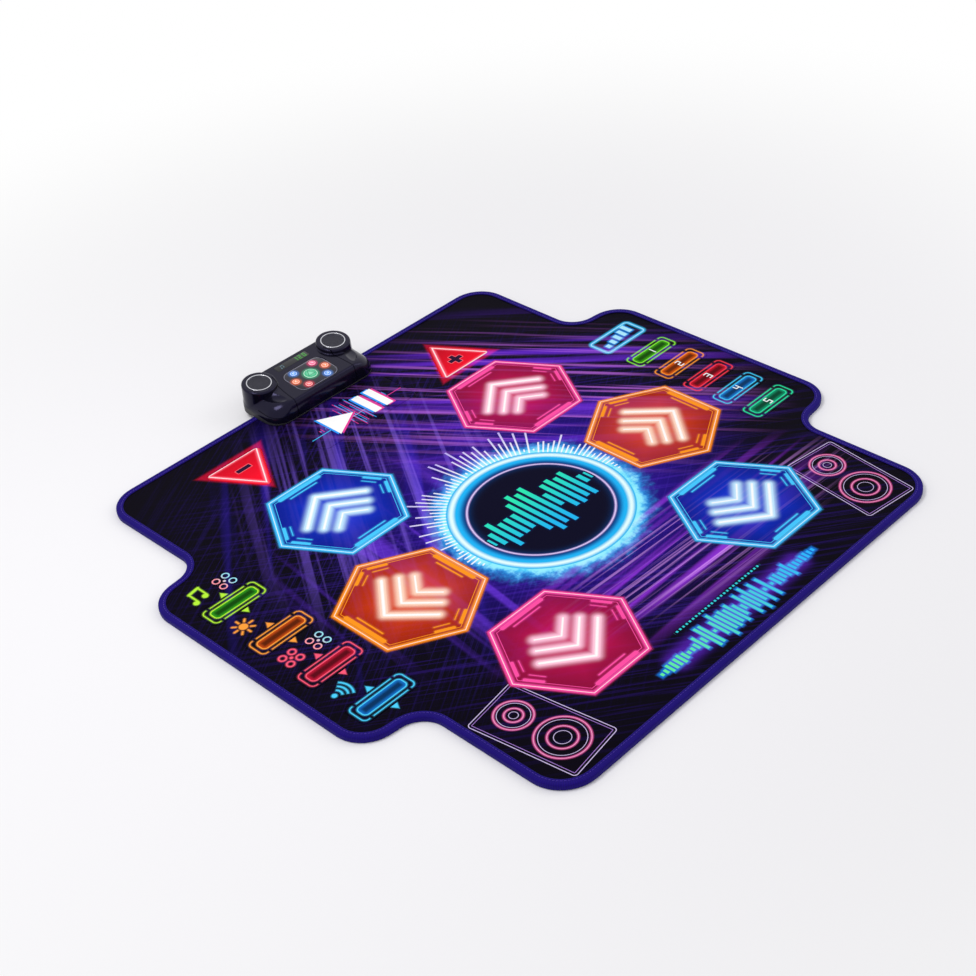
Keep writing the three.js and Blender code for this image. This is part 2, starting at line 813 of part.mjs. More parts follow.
function upperHousing() {
  const sides = [-1, 1];
  const scooped = cut(solidOf(shellForm(0, 0, 0)), ...sides.map(scoopCutter));
  const grooves = sides.flatMap((side) => [deckGroove(side), sideGroove(side)]);
  const grooved = grooves.reduce((whole, groove) => whole.subtract(groove), scooped);
  const outside = sides.reduce((whole, side) => whole.add(solidOf(turretForm(side))), grooved);
  const hollow = join(shellForm(consoleWall, deckThickness, cutOverrun), ...sides.map(turretHollow));
  const opened = cut(outside.subtract(hollow),
    ...sides.map((side) => onDeck(atTurret(turretOpening(), side))),
    ...ledgeCutters(panelOutline, panelThickness, panelLedge),
    ...ledgeCutters(windowOutline, windowThickness, windowLedge), switchSlot());
  const fittings = [screwBoss(-screwX), screwBoss(screwX), ...boardPosts()];
  return geometryOf(fittings.reduce((whole, fitting) => whole.add(solidOf(fitting)), opened));
}

add('upper_housing', upperHousing(), glossBlack);

// Lower housing: a shallow tray on the mat, and a battery bay that stands on the floor behind it
const bayFront = matDepth / 2 + footGap;
const bayInnerFront = bayFront + bayWall;
const cellPitch = 2 * (cellRadius + clearance / 2);
const bayInnerRear = bayInnerFront + 2 * clearance + cellRows * cellPitch;
const rowLength = cellsInRow * (cellLength + cellNubLength + clearance);
const bayHalfWidth = rowLength / 2 + contactSpace;
const bayCeiling = lowerFloor + 2 * (cellRadius + clearance);
const bayFootWidth = consoleWidth - 2 * consoleCornerRadius;
const doorHalfWidth = bayHalfWidth + bayWall / 2;

function lowerTray() {
  const bottom = sheetTop + clearance;
  const corners = rectangle(0, consoleMiddleY, consoleWidth, consoleDepth, consoleCornerRadius);
  const ring = (inset, heightAt) => {
    const points = roundedOutline(drawnIn(corners, inset), consoleCornerSteps);
    return points.map((point) => new THREE.Vector3(point.x, point.y, heightAt(point.y)));
  };
  const seam = (y) => slopeHeight(y, seamFrontHeight - clearance);
  return skin([ring(trayEdge, () => bottom), ring(0, () => bottom + trayEdge), ring(0, seam)], false);
}

function lowerHousing() {
  const bottom = sheetTop + clearance;
  const rear = consoleRearY - bayWall / 2;
  const foot = block(0, (bayFront + rear) / 2, bayFootWidth, rear - bayFront, 0, bottom + bayWall);
  const boxRear = bayInnerRear + bayWall;
  const box = block(0, (bayFront + boxRear) / 2, 2 * (bayHalfWidth + bayWall), boxRear - bayFront, 0,
    bayCeiling + bayWall);
  const outer = rectangle(0, consoleMiddleY, consoleWidth, consoleDepth, consoleCornerRadius);
  const inner = roundedOutline(drawnIn(outer, consoleWall), consoleCornerSteps);
  const trayHollow = plate(inner, floorTop, deckFrontHeight);
  const footRear = rear - bayWall;
  const footMiddle = (bayInnerFront + footRear) / 2;
  const footHollow = block(0, footMiddle, bayFootWidth - 2 * bayWall, footRear - bayInnerFront, lowerFloor,
    floorTop + cutOverrun);
  const tray = cut(join(lowerTray(), foot), trayHollow, footHollow).add(solidOf(box));
  const bay = block(0, (bayInnerFront + bayInnerRear) / 2, 2 * bayHalfWidth, bayInnerRear - bayInnerFront,
    -cutOverrun, bayCeiling);
  const doorWay = block(0, (bayInnerFront + consoleRearY + cutOverrun) / 2, 2 * doorHalfWidth,
    consoleRearY + cutOverrun - bayInnerFront, -cutOverrun, lowerFloor);
  const grooveFoot = doorLift + (doorThickness - doorTongueThickness) / 2 - clearance;
  const tongueWay = block(0, (bayInnerFront + consoleRearY + cutOverrun) / 2,
    2 * (doorHalfWidth + doorTongue + clearance), consoleRearY + cutOverrun - bayInnerFront, grooveFoot,
    grooveFoot + doorTongueThickness + 2 * clearance);
  const bindingY = matDepth / 2 - bindingWidth / 2;
  const bindingWay = block(0, bindingY, consoleWidth + cutOverrun, bindingWidth + 2 * footGap, 0,
    bindingTop + clearance);
  const holes = [-screwX, screwX].map((x) =>
    rod(x, clampY, screwRadius + clearance, screwSides, 0, floorTop + cutOverrun));
  const slot = plate(tailSlot(), 0, floorTop + cutOverrun);
  return geometryOf(cut(tray, bay, doorWay, tongueWay, bindingWay, slot, ...holes));
}

function batteryDoor() {
  const front = bayInnerFront + clearance;
  const rear = consoleRearY - bayWall / 2;
  const width = 2 * (doorHalfWidth - clearance);
  const middle = (front + rear) / 2;
  const top = doorLift + doorThickness;
  const tongueFoot = doorLift + (doorThickness - doorTongueThickness) / 2;
  const panel = block(0, middle, width, rear - front, doorLift, top);
  const tongueTop = tongueFoot + doorTongueThickness;
  const tongues = block(0, middle, width + 2 * doorTongue, rear - front, tongueFoot, tongueTop);
  const ribs = [];
  for (let i = 0; i < doorRibCount; i += 1) {
    const y = rear - doorRibPitch * (i + 1);
    ribs.push(block(0, y, cellLength, doorRibSize, doorLift - cutOverrun, doorLift + doorRibSize / 2));
  }
  return geometryOf(cut(join(panel, tongues), ...ribs));
}

function batteryCell(row, column) {
  const half = cellLength / 2;
  const profile = [
    [0, -half],
    [cellRadius - cellEdge, -half],
    [cellRadius, cellEdge - half],
    [cellRadius, half - cellEdge],
    [cellRadius - cellEdge, half],
    [cellNubRadius, half],
    [cellNubRadius, half + cellNubLength],
    [0, half + cellNubLength],
  ];
  const turnedOver = row % 2 ? -1 : 1;
  const cell = turned(profile, cellSides).rotateY((turnedOver * Math.PI) / 2);
  const x = (column - (cellsInRow - 1) / 2) * (cellLength + cellNubLength + clearance);
  const y = bayInnerFront + clearance + cellPitch * (row + 1 / 2);
  return cell.translate(x - (turnedOver * cellNubLength) / 2, y, lowerFloor + clearance + cellRadius);
}

// Contact plate at one end of the bay, with a cone spring or button for each row
function batteryContact(side) {
  const middleY = (bayInnerFront + bayInnerRear) / 2;
  const x = side * (bayHalfWidth - clearance - contactThickness / 2);
  const bottom = lowerFloor + cellRadius + clearance - contactHeight / 2;
  const strip = block(x, middleY, contactThickness, bayInnerRear - bayInnerFront - 2 * clearance, bottom,
    bottom + contactHeight);
  const reach = contactSpace - 2 * clearance - contactThickness / 2;
  const cones = [];
  for (let row = 0; row < cellRows; row += 1) {
    const profile = [[0, 0], [springRadius, 0], [springRadius / 2, reach], [0, reach]];
    const y = bayInnerFront + clearance + cellPitch * (row + 1 / 2);
    const cone = turned(profile, screwSides).rotateY((-side * Math.PI) / 2);
    cones.push(cone.translate(x, y, lowerFloor + clearance + cellRadius));
  }
  return geometryOf(join(strip, ...cones));
}

add('lower_housing', lowerHousing(), mattBlack);
add('battery_door', batteryDoor(), mattBlack);
for (let row = 0; row < cellRows; row += 1) {
  for (let column = 0; column < cellsInRow; column += 1) {
    add(`battery_cell_${row * cellsInRow + column + 1}`, batteryCell(row, column), cellCover);
  }
}
add('contact_bridge', batteryContact(-1), steel);
add('terminal_board', batteryContact(1), steel);

// Light panel with its seven lights, and the display window, in the deck's own frame
const smallLights = [
  { name: 'light_rear_left', x: -endLightX, along: endLightY, material: lightBlue },
  { name: 'light_rear_right', x: endLightX, along: endLightY, material: lightPink },
  { name: 'light_left', x: -sideLightX, along: 0, material: lightOrange },
  { name: 'light_right', x: sideLightX, along: 0, material: lightOrange },
  { name: 'light_front_left', x: -endLightX, along: -endLightY, material: lightRed },
  { name: 'light_front_right', x: endLightX, along: -endLightY, material: lightBlue },
];
const lights = [
  { name: 'centre_light', x: 0, along: 0, radius: centreLightRadius, material: lightGreen },
  ...smallLights.map((light) => ({ ...light, radius: smallLightRadius })),
];

function lightPanel() {
  const holes = lights.map((light) =>
    disc(light.x, panelY + light.along, light.radius + clearance, lensSides));
  return plate(roundedOutline(panelOutline, smallCornerSteps), -panelThickness, 0, holes);
}

function lightLens(light) {
  const foot = -panelThickness - clearance;
  const profile = [
    [0, foot - lightFlangeThickness],
    [light.radius + lightFlange, foot - lightFlangeThickness],
    [light.radius + lightFlange, foot],
    [light.radius, foot],
    [light.radius, 0],
    [light.radius / 2, lightDome],
    [0, lightDome],
  ];
  return turned(profile, lensSides).translate(light.x, panelY + light.along, 0);
}

add('light_panel', lightPanel(), smokedPlastic, deckGroup);
lights.forEach((light) => add(light.name, lightLens(light), light.material, deckGroup));
const windowPlate = plate(roundedOutline(windowOutline, smallCornerSteps), -windowThickness, 0);
add('display_window', windowPlate, smokedPlastic, deckGroup);

// Circuit board between the screw bosses, and the digit display that stands on it
function circuitBoard() {
  const middle = (boardFront + boardRear) / 2;
  return block(0, middle, boardWidth, boardDepth, boardTop - boardThickness, boardTop);
}

function digitDisplay() {
  return block(0, windowY, digitWidth, digitDepth, boardTop + clearance, -windowThickness - windowLedge);
}

add('circuit_board', circuitBoard(), boardGreen, deckGroup);
add('digit_display', digitDisplay(), digitGrey, deckGroup);

// Speaker grille: a perforated disc in a rolled rim
function speakerGrille() {
  const holes = hexPlaces(grilleHoleRings, grilleHolePitch, 0).map((place) =>
    disc(place.x, place.y, grilleHoleRadius, grilleHoleSides));
  const mesh = plate(disc(0, 0, grilleRadius + rimWidth / 2, turretSides), grilleFoot, grilleTop, holes);
  const rimTop = turretRise + rimProud;
  const edge = rimWidth / 4;
  const profile = [
    [grilleRadius, grilleFoot],
    [rimRadius, grilleFoot],
    [rimRadius, rimTop - edge],
    [rimRadius - edge, rimTop],
    [grilleRadius + edge, rimTop],
    [grilleRadius, rimTop - edge],
    [grilleRadius, grilleFoot],
  ];
  return geometryOf(join(mesh, turned(profile, turretSides)));
}

// Speaker: frame ring, basket, magnet, and a cone that is open to the grille
function speaker() {
  const top = ledgeFoot - clearance;
  const rim = grilleRadius;
  const basket = top - speakerDepth + speakerConeDepth;
  const profile = [
    [0, top - speakerDepth],
    [speakerMagnetRadius, top - speakerDepth],
    [speakerMagnetRadius, basket],
    [rim - speakerRimThickness, top - speakerRimThickness],
    [rim, top - speakerRimThickness],
    [rim, top],
    [rim - speakerRimThickness, top],
    [speakerMagnetRadius / 2, top - speakerConeDepth],
    [0, top - speakerConeDepth + speakerRimThickness],
  ];
  return turned(profile, speakerSides);
}

[['left', -1], ['right', 1]].forEach(([name, side]) => {
  add(`speaker_grille_${name}`, atTurret(speakerGrille(), side), grilleSilver, deckGroup);
  add(`speaker_${name}`, atTurret(speaker(), side), magnetGrey, deckGroup);
});

// Power switch: a cap at the off end of the rear wall's slot, with a flange inside
function powerSwitch() {
  const x = switchX - switchTravel / 2;
  const wallInside = consoleRearY - consoleWall - clearance;
  const reach = switchCapReach + clearance + consoleWall;
  const cap = block(x, wallInside + reach / 2, switchCapWidth, reach, switchHeight - switchCapHeight / 2,
    switchHeight + switchCapHeight / 2);
  const flange = block(x, wallInside - rearRoll / 2, switchCapWidth + 2 * switchFlange, rearRoll / 2,
    switchHeight - switchCapHeight / 2 - switchFlange, switchHeight + switchCapHeight / 2 + switchFlange);
  const neck = block(x, wallInside, switchCapWidth, rearRoll, switchHeight - switchCapHeight / 2,
    switchHeight + switchCapHeight / 2);
  return geometryOf(join(cap, neck, flange));
}

add('power_switch', powerSwitch(), mattBlack);

// Clamp plate in the mat's pocket, and the two screws that pull the console down on the mat
function clampPlate() {
  const body = plate(roundedOutline(clampCorners, smallCornerSteps), clampLift, clampLift + clampThickness);
  const sinks = [-screwX, screwX].flatMap((x) => [
    rod(x, clampY, screwRadius + clearance, screwSides, 0, clampLift + clampThickness + cutOverrun),
    rod(x, clampY, screwHeadRadius + clearance, screwSides, 0, clampLift + screwHeadHeight + clearance),
  ]);
  return geometryOf(cut(solidOf(body), ...sinks));
}

function clampScrew(x) {
  const profile = [
    [0, 0],
    [screwHeadRadius, 0],
    [screwHeadRadius, screwHeadHeight],
    [screwRadius, screwHeadHeight],
    [screwRadius, screwLength - screwRadius],
    [screwRadius / 2, screwLength],
    [0, screwLength],
  ];
  return turned(profile, screwSides).translate(x, clampY, clampLift);
}

add('clamp_plate', clampPlate(), mattBlack);
add('clamp_screw_left', clampScrew(-screwX), steel);
add('clamp_screw_right', clampScrew(screwX), steel);

export default group;
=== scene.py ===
# Looks of the electronic dance mat: the printed, bound and stitched mat, and the glossy console
# that is clamped on its rear edge. Sizes are in millimetres until a mesh becomes a piece.
import math
from functools import reduce

import bmesh
import bpy
import numpy as np
from mathutils import Matrix, Vector
from mathutils.geometry import delaunay_2d_cdt


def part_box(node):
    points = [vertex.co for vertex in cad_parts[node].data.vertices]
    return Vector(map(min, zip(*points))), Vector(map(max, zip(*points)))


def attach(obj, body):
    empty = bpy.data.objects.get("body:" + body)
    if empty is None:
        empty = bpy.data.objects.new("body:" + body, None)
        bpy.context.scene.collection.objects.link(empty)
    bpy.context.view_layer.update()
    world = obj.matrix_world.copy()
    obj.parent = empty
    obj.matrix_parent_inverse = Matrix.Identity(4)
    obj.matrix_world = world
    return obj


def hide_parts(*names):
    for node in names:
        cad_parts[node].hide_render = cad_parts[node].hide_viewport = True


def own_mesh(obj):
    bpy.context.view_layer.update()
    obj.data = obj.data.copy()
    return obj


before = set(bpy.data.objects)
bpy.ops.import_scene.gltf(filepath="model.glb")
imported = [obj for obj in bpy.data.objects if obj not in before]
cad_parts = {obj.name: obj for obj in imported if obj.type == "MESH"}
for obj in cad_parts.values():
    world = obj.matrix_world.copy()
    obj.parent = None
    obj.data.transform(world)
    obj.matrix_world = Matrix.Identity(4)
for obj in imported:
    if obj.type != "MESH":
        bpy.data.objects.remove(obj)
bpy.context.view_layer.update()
MM = 0.001


# Kinds of node used throughout, each with its settings
def kinds(kind, setting, values, **others):
    return [(kind, {setting: value, **others}) for value in values.split()]


ADD, SUBTRACT, MULTIPLY, DIVIDE, MINIMUM, MAXIMUM, ABSOLUTE, ROUND, WRAP, COSINE, ARCTAN2 = kinds(
    "ShaderNodeMath", "operation",
    "ADD SUBTRACT MULTIPLY DIVIDE MINIMUM MAXIMUM ABSOLUTE ROUND WRAP COSINE ARCTAN2")
VECTOR_ADD, VECTOR_SUBTRACT, VECTOR_MULTIPLY, VECTOR_MAXIMUM, VECTOR_ABSOLUTE, LENGTH, DOT, SCALED = kinds(
    "ShaderNodeVectorMath", "operation", "ADD SUBTRACT MULTIPLY MAXIMUM ABSOLUTE LENGTH DOT_PRODUCT SCALE")
RANGE, SMOOTH, SMOOTHER = kinds(
    "ShaderNodeMapRange", "interpolation_type", "LINEAR SMOOTHSTEP SMOOTHERSTEP")
MIX, SCREEN = kinds("ShaderNodeMix", "blend_type", "MIX SCREEN", data_type="RGBA")
CHANCE = ("ShaderNodeTexWhiteNoise", {"noise_dimensions": "1D"})
NOISE, WAVE, BUMP = "ShaderNodeTexNoise", "ShaderNodeTexWave", "ShaderNodeBump"
PARTS, COMBINE = "ShaderNodeSeparateXYZ", "ShaderNodeCombineXYZ"
JOIN, INSTANCES = "GeometryNodeJoinGeometry", "GeometryNodeInstanceOnPoints"
WHITE, BLACK = 0xFFFFFF, 0x000000


def linear(colour):
    """An sRGB hex colour as linear RGBA; a colour that is linear already stays as it is."""
    if isinstance(colour, int):
        parts = [(colour >> shift & 255) / 255 for shift in (16, 8, 0)]
        parts = [part / 12.92 if part <= 0.04045 else ((part + 0.055) / 1.055) ** 2.4 for part in parts]
        colour = (*parts, 1)
    return colour


def mixed(low, high, share):
    return tuple(a + (b - a) * share for a, b in zip(linear(low), linear(high)))


def several(value):
    return value if isinstance(value, list) else [value]


def node(kind, *inputs, tree=None, **named):
    """Adds a node and returns its first output. Inputs are values, links or lists of links, in
    order or by a capitalised name; other names are settings. It joins the tree of its first link."""
    kind, settings = kind if isinstance(kind, tuple) else (kind, {})
    given = [part for value in (*inputs, *named.values()) for part in several(value)]
    tree = tree or next(part.id_data for part in given if isinstance(part, bpy.types.NodeSocket))
    made = tree.nodes.new(kind)
    for name, value in {**settings, **named}.items():
        if name.islower():
            setattr(made, name, value)
    pairs = list(zip([socket for socket in made.inputs if socket.enabled], inputs))
    pairs += [(made.inputs[name.replace("_", " ")], value)
              for name, value in named.items() if not name.islower()]
    for socket, value in pairs:
        for part in several(value):
            if isinstance(part, bpy.types.NodeSocket):
                tree.links.new(socket, part)
            else:
                socket.default_value = linear(part) if socket.type == "RGBA" else part
    return next((socket for socket in made.outputs if socket.enabled), None)


def new_material(name):
    """An empty node material, and a piece's object coordinates in it, in metres."""
    material = bpy.data.materials.new(name)
    material.use_nodes = True
    material.node_tree.nodes.clear()
    return material, node("ShaderNodeTexCoord", tree=material.node_tree).node.outputs["Object"]


def surface(material, **inputs):
    """Ends a material in one Principled shader with these inputs."""
    node("ShaderNodeOutputMaterial",
         Surface=node("ShaderNodeBsdfPrincipled", tree=material.node_tree, **inputs))
    return material


# Studio, in metres
CAMERA_AT = (-1.356288, -1.446205, 1.489281)
CAMERA_RIGHT = (0.67866049, -0.73137512, -0.06715930)
CAMERA_DOWN = (-0.47523265, -0.36757382, -0.79940191)
CAMERA_FORWARD = (0.55997667, 0.57443879, -0.59703116)
CAMERA_SENSOR, CAMERA_LENS, CAMERA_SHIFT = 36, 64.67, -0.0533
LAMPS = {"key_lamp": ((-0.9, 0.5, 2.2), 0.9, 22), "fill_lamp": ((1.9, -1.0, 1.5), 1.4, 9)}
DOME_STRENGTH = 0.62
FLOOR_REACH = 6
FLOOR_FADE = (0.55, 1.7)


def new_object(name, data):
    holder = bpy.data.objects.new(name, data)
    bpy.context.scene.collection.objects.link(holder)
    return holder


def make_camera():
    """The camera at the photograph's angle: its place and axes from the print's perspective."""
    camera = new_object("camera", bpy.data.cameras.new("camera"))
    axes = Matrix((CAMERA_RIGHT, -Vector(CAMERA_DOWN), -Vector(CAMERA_FORWARD))).transposed().to_4x4()
    camera.matrix_world = Matrix.Translation(CAMERA_AT) @ axes
    camera.data.sensor_width = CAMERA_SENSOR
    camera.data.lens = CAMERA_LENS
    camera.data.shift_x = CAMERA_SHIFT
    camera.data.clip_end = 50
    bpy.context.scene.camera = camera


def seen_directly(tree):
    """One for the camera's rays and for those that come by way of gloss or glass, else zero."""
    path = node("ShaderNodeLightPath", tree=tree).node.outputs
    seen = node(MAXIMUM, path["Is Camera Ray"], path["Is Transmission Ray"])
    return node(MAXIMUM, seen, path["Is Glossy Ray"])


def make_lights():
    """Soft plain light: a bright dome, a large lamp above and a low one at the side."""
    world = bpy.data.worlds.new("studio")
    bpy.context.scene.world = world
    world.use_nodes = True
    world.node_tree.nodes.clear()
    strength = node(RANGE, seen_directly(world.node_tree), 0, 1, DOME_STRENGTH, 1.0)
    node("ShaderNodeOutputWorld", Surface=node("ShaderNodeBackground", Color=WHITE, Strength=strength))
    for name, (at, size, power) in LAMPS.items():
        lamp = bpy.data.lights.new(name, "AREA")
        lamp.energy = power
        lamp.size = size
        holder = new_object(name, lamp)
        holder.location = at
        holder.rotation_euler = (-Vector(at)).to_track_quat("-Z", "Y").to_euler()


def make_floor():
    """A matt pale floor, which turns to plain white away from the mat."""
    mesh = bpy.data.meshes.new("floor")
    corners = [(x * FLOOR_REACH, y * FLOOR_REACH, 0) for x, y in ((-1, -1), (1, -1), (1, 1), (-1, 1))]
    mesh.from_pydata(corners, [], [(0, 1, 2, 3)])
    material, spot = new_material("studio_floor")
    matt = node("ShaderNodeBsdfPrincipled", tree=spot.id_data, Base_Color=0xF4F3F6, Roughness=0.9,
                Specular_IOR_Level=0.1)
    far = node(SMOOTH, node(LENGTH, spot), *FLOOR_FADE, 0.0, 1.0)
    share = node(MULTIPLY, far, seen_directly(spot.id_data))
    white = node("ShaderNodeEmission", tree=spot.id_data, Color=WHITE, Strength=1.0)
    node("ShaderNodeOutputMaterial", Surface=node("ShaderNodeMixShader", share, matt, white))
    mesh.materials.append(material)
    new_object("floor", mesh)


# Meshes
MERGED = 0.001


def piece(name, mesh, body, slot, *replaced):
    """A finished mesh, brought to metres, as a piece on a body; its slot is not used."""
    mesh.transform(Matrix.Scale(MM, 4))
    made = new_object(name, mesh)
    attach(made, body)
    if replaced:
        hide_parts(*replaced)
    return made


def box_of(name):
    """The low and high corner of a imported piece."""
    return [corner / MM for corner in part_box(name)]


def middle_of(name):
    low, high = box_of(name)
    return ((low + high) / 2).xy


def settled(mesh, material):
    """Merges doubles, turns the faces outward, shades them smooth and sets the material."""
    work = bmesh.new()
    work.from_mesh(mesh)
    bmesh.ops.remove_doubles(work, verts=work.verts, dist=MERGED)
    bmesh.ops.recalc_face_normals(work, faces=work.faces)
    work.to_mesh(mesh)
    work.free()
    mesh.materials.clear()
    mesh.materials.append(material)
    mesh.polygons.foreach_set("use_smooth", [True] * len(mesh.polygons))
    return mesh


def edges_at(corners, i):
    here, before = corners[i][0], corners[i - 1][0]
    after = corners[(i + 1) % len(corners)][0]
    return (here - before).normalized(), (after - here).normalized()


def drawn_in(corners, inset):
    """The corners of a counter-clockwise outline, each with its radius, moved inwards."""
    moved_corners = []
    for i, (at, radius) in enumerate(corners):
        arriving, leaving = edges_at(corners, i)
        inwards = Vector((-arriving.y, arriving.x))
        inwards_after = Vector((-leaving.y, leaving.x))
        shift = (inwards + inwards_after) * (inset / (1 + inwards.dot(inwards_after)))
        side = math.copysign(1, arriving.x * leaving.y - arriving.y * leaving.x)
        moved_corners.append((at + shift, max(radius - side * inset, 0.1)))
    return moved_corners


def rounded(corners, steps):
    """The outline's points, with each corner as an arc."""
    points = []
    for i, (at, radius) in enumerate(corners):
        arriving, leaving = edges_at(corners, i)
        turn = math.atan2(arriving.x * leaving.y - arriving.y * leaving.x, arriving.dot(leaving))
        side = math.copysign(1, turn)
        inwards = Vector((-arriving.y, arriving.x))
        centre = at - arriving * radius * math.tan(abs(turn) / 2) + inwards * side * radius
        start = math.atan2(-side * inwards.y, -side * inwards.x)
        for step in range(steps + 1):
            angle = start + turn * step / steps
            points.append(centre + Vector((math.cos(angle), math.sin(angle))) * radius)
    return points


def arc(centre, reach, start, end, steps):
    """Points on an arc between two angles in degrees, as pairs."""
    angles = [math.radians(start + (end - start) * step / steps) for step in range(steps + 1)]
    return [(centre[0] + reach[0] * math.cos(angle), centre[1] + reach[1] * math.sin(angle))
            for angle in angles]


def rectangle(x, y, width, depth, radius):
    signs = ((-1, -1), (1, -1), (1, 1), (-1, 1))
    return [(Vector((x + side * width / 2, y + end * depth / 2)), radius) for side, end in signs]


def polygon(x, y, reach, sides, turn, radius):
    angles = [turn + 2 * math.pi * side / sides for side in range(sides)]
    return [(Vector((x + reach * math.cos(angle), y + reach * math.sin(angle))), radius)
            for angle in angles]


def spaced(points, step):
    """The points of a closed line with more added where they lie further apart than step."""
    out = []
    for i, point in enumerate(points):
        after = points[(i + 1) % len(points)]
        count = max(1, round((after - point).length / step))
        out.extend(point.lerp(after, k / count) for k in range(count))
    return out


# The mat's outline, as the sheet and the binding follow it
MAT_WIDTH, MAT_DEPTH = 772, 900
TAB_REACH, TAB_LENGTH, TAB_CENTRE_Y, TAB_SLOPE = 94, 427, 8.5, 9
REAR_CORNER, FRONT_CORNER, TAB_CORNER, TAB_FILLET = 50, 55, 50, 38
SEAM_GAP = 0.3
BINDING_WIDTH = 10.5
ARC_STEPS = 8


def mat_corners():
    side, end, tab_side = MAT_WIDTH / 2, MAT_DEPTH / 2, MAT_WIDTH / 2 + TAB_REACH
    tab_rear, tab_front = TAB_CENTRE_Y + TAB_LENGTH / 2, TAB_CENTRE_Y - TAB_LENGTH / 2
    right = [
        (side, -end, FRONT_CORNER),
        (side, tab_front - TAB_SLOPE, TAB_FILLET),
        (tab_side, tab_front, TAB_CORNER),
        (tab_side, tab_rear, TAB_CORNER),
        (side, tab_rear + TAB_SLOPE, TAB_FILLET),
        (side, end, REAR_CORNER),
    ]
    left = [(-x, y, radius) for x, y, radius in reversed(right)]
    return [(Vector((x, y)), radius) for x, y, radius in right + left]


OUTLINE = mat_corners()
sheet_foot, sheet_top = (corner.z for corner in box_of("top_sheet"))
backing_top = box_of("backing_sheet")[1].z
binding_top = box_of("edge_binding")[1].z
console_low, console_high = box_of("lower_housing")

# The laid cloth's gentle rise and fall, calm under the console and at its sides
SWELL = 0.42
SWELL_CALM = 30


def swell_at(x, y):
    """How far the laid sheet stands from flat at a place."""
    waves = (
        math.sin(x / 61 + 0.7) * math.sin(y / 83 + 1.9)
        + 0.6 * math.sin(x / 34 - y / 52 + 0.4)
        + 0.5 * math.sin(x / 47 + y / 29 + 2.6)
    )
    away = max(0.0, abs(x) - console_high.x, console_low.y - y)
    return SWELL * (waves / 2.1 - 0.55) * min(1.0, away / SWELL_CALM)


def inside(spots, line):
    """Which of the places are inside a closed line of points."""
    found = np.zeros(len(spots), bool)
    for i, after in enumerate(line):
        before = line[i - 1]
        if after.y == before.y:
            continue
        spans = (after.y > spots[:, 1]) != (before.y > spots[:, 1])
        crossing = (before.x - after.x) * (spots[:, 1] - after.y) / (before.y - after.y) + after.x
        found ^= spans & (spots[:, 0] < crossing)
    return found


def between(spots, loops, clear=0):
    """Which of the places are inside the first loop and outside the others, clear of both."""
    found = inside(spots, rounded(drawn_in(loops[0], clear), ARC_STEPS))
    for corners in loops[1:]:
        found &= ~inside(spots, rounded(drawn_in(corners, -clear), ARC_STEPS))
    return found


def patch(name, loops, foot, height, material, step=9, rim=1.1, sink=0.3):
    """A closed flat patch inside the first loop and outside the others. Its top follows a height
    function, and along its rims the edge lies lower by sink."""
    points, edges, sunk = [], [], set()
    for number, corners in enumerate(loops):
        for inset in (0, rim):
            line = spaced(rounded(drawn_in(corners, -inset if number else inset), ARC_STEPS), step)
            start = len(points)
            points.extend(line)
            if inset == 0:
                sunk.update(range(start, len(points)))
                edges.extend((start + i, start + (i + 1) % len(line)) for i in range(len(line)))
    low, high = np.min(points, axis=0), np.max(points, axis=0)
    xs, ys = (np.arange(low[axis] + step / 2, high[axis], step) for axis in (0, 1))
    spots = np.stack(np.meshgrid(xs, ys), axis=-1).reshape(-1, 2)
    points.extend(Vector(spot) for spot in spots[between(spots, loops, rim + step / 3)])
    flat, _, faces, origins, _, _ = delaunay_2d_cdt(points, edges, [], 0, MERGED / 10)
    middles = np.array([np.mean([flat[i] for i in face], axis=0) for face in faces])
    top = [(spot.x, spot.y, height(spot.x, spot.y) - (sink if sunk.intersection(sources) else 0))
           for spot, sources in zip(flat, origins)]
    mesh = bpy.data.meshes.new(name)
    mesh.from_pydata(top, [], [face for face, keep in zip(faces, between(middles, loops)) if keep])
    work = bmesh.new()
    work.from_mesh(mesh)
    bmesh.ops.delete(work, geom=[vert for vert in work.verts if not vert.link_faces], context="VERTS")
    lower = bmesh.ops.extrude_face_region(work, geom=work.faces[:], use_keep_orig=True)["geom"]
    for part in lower:
        if isinstance(part, bmesh.types.BMVert):
            part.co.z = foot
    work.to_mesh(mesh)
    work.free()
    return settled(mesh, material)


# Artwork: every form is a distance in millimetres, below zero inside, on a flat point of the print
def seen_from(point, centre, degrees=0, scale=(1, 1)):
    """The point as seen from a centre, turned, and measured in steps of a scale."""
    return node("ShaderNodeMapping", vector_type="TEXTURE", Vector=point, Location=(*centre, 0),
                Rotation=(0, 0, math.radians(degrees)), Scale=(*scale, 1))


def mirrored(point):
    """The point with its left half folded onto the right."""
    parts = node(PARTS, point)
    return node(COMBINE, node(ABSOLUTE, parts), parts.node.outputs["Y"])


def from_disc(point, radius=0, centre=(0, 0)):
    return node(SUBTRACT, node(LENGTH, node(VECTOR_SUBTRACT, point, (*centre, 0))), radius)


def from_bar(point, width, depth, radius=0, centre=(0, 0)):
    side = node(VECTOR_ABSOLUTE, node(VECTOR_SUBTRACT, point, (*centre, 0)))
    beyond = node(VECTOR_SUBTRACT, side, (width / 2 - radius, depth / 2 - radius, 0))
    outer = node(LENGTH, node(VECTOR_MAXIMUM, beyond, (0, 0, 0)))
    parts = node(PARTS, beyond)
    inner = node(MINIMUM, node(MAXIMUM, parts, parts.node.outputs["Y"]), 0.0)
    return node(SUBTRACT, node(ADD, outer, inner), radius)


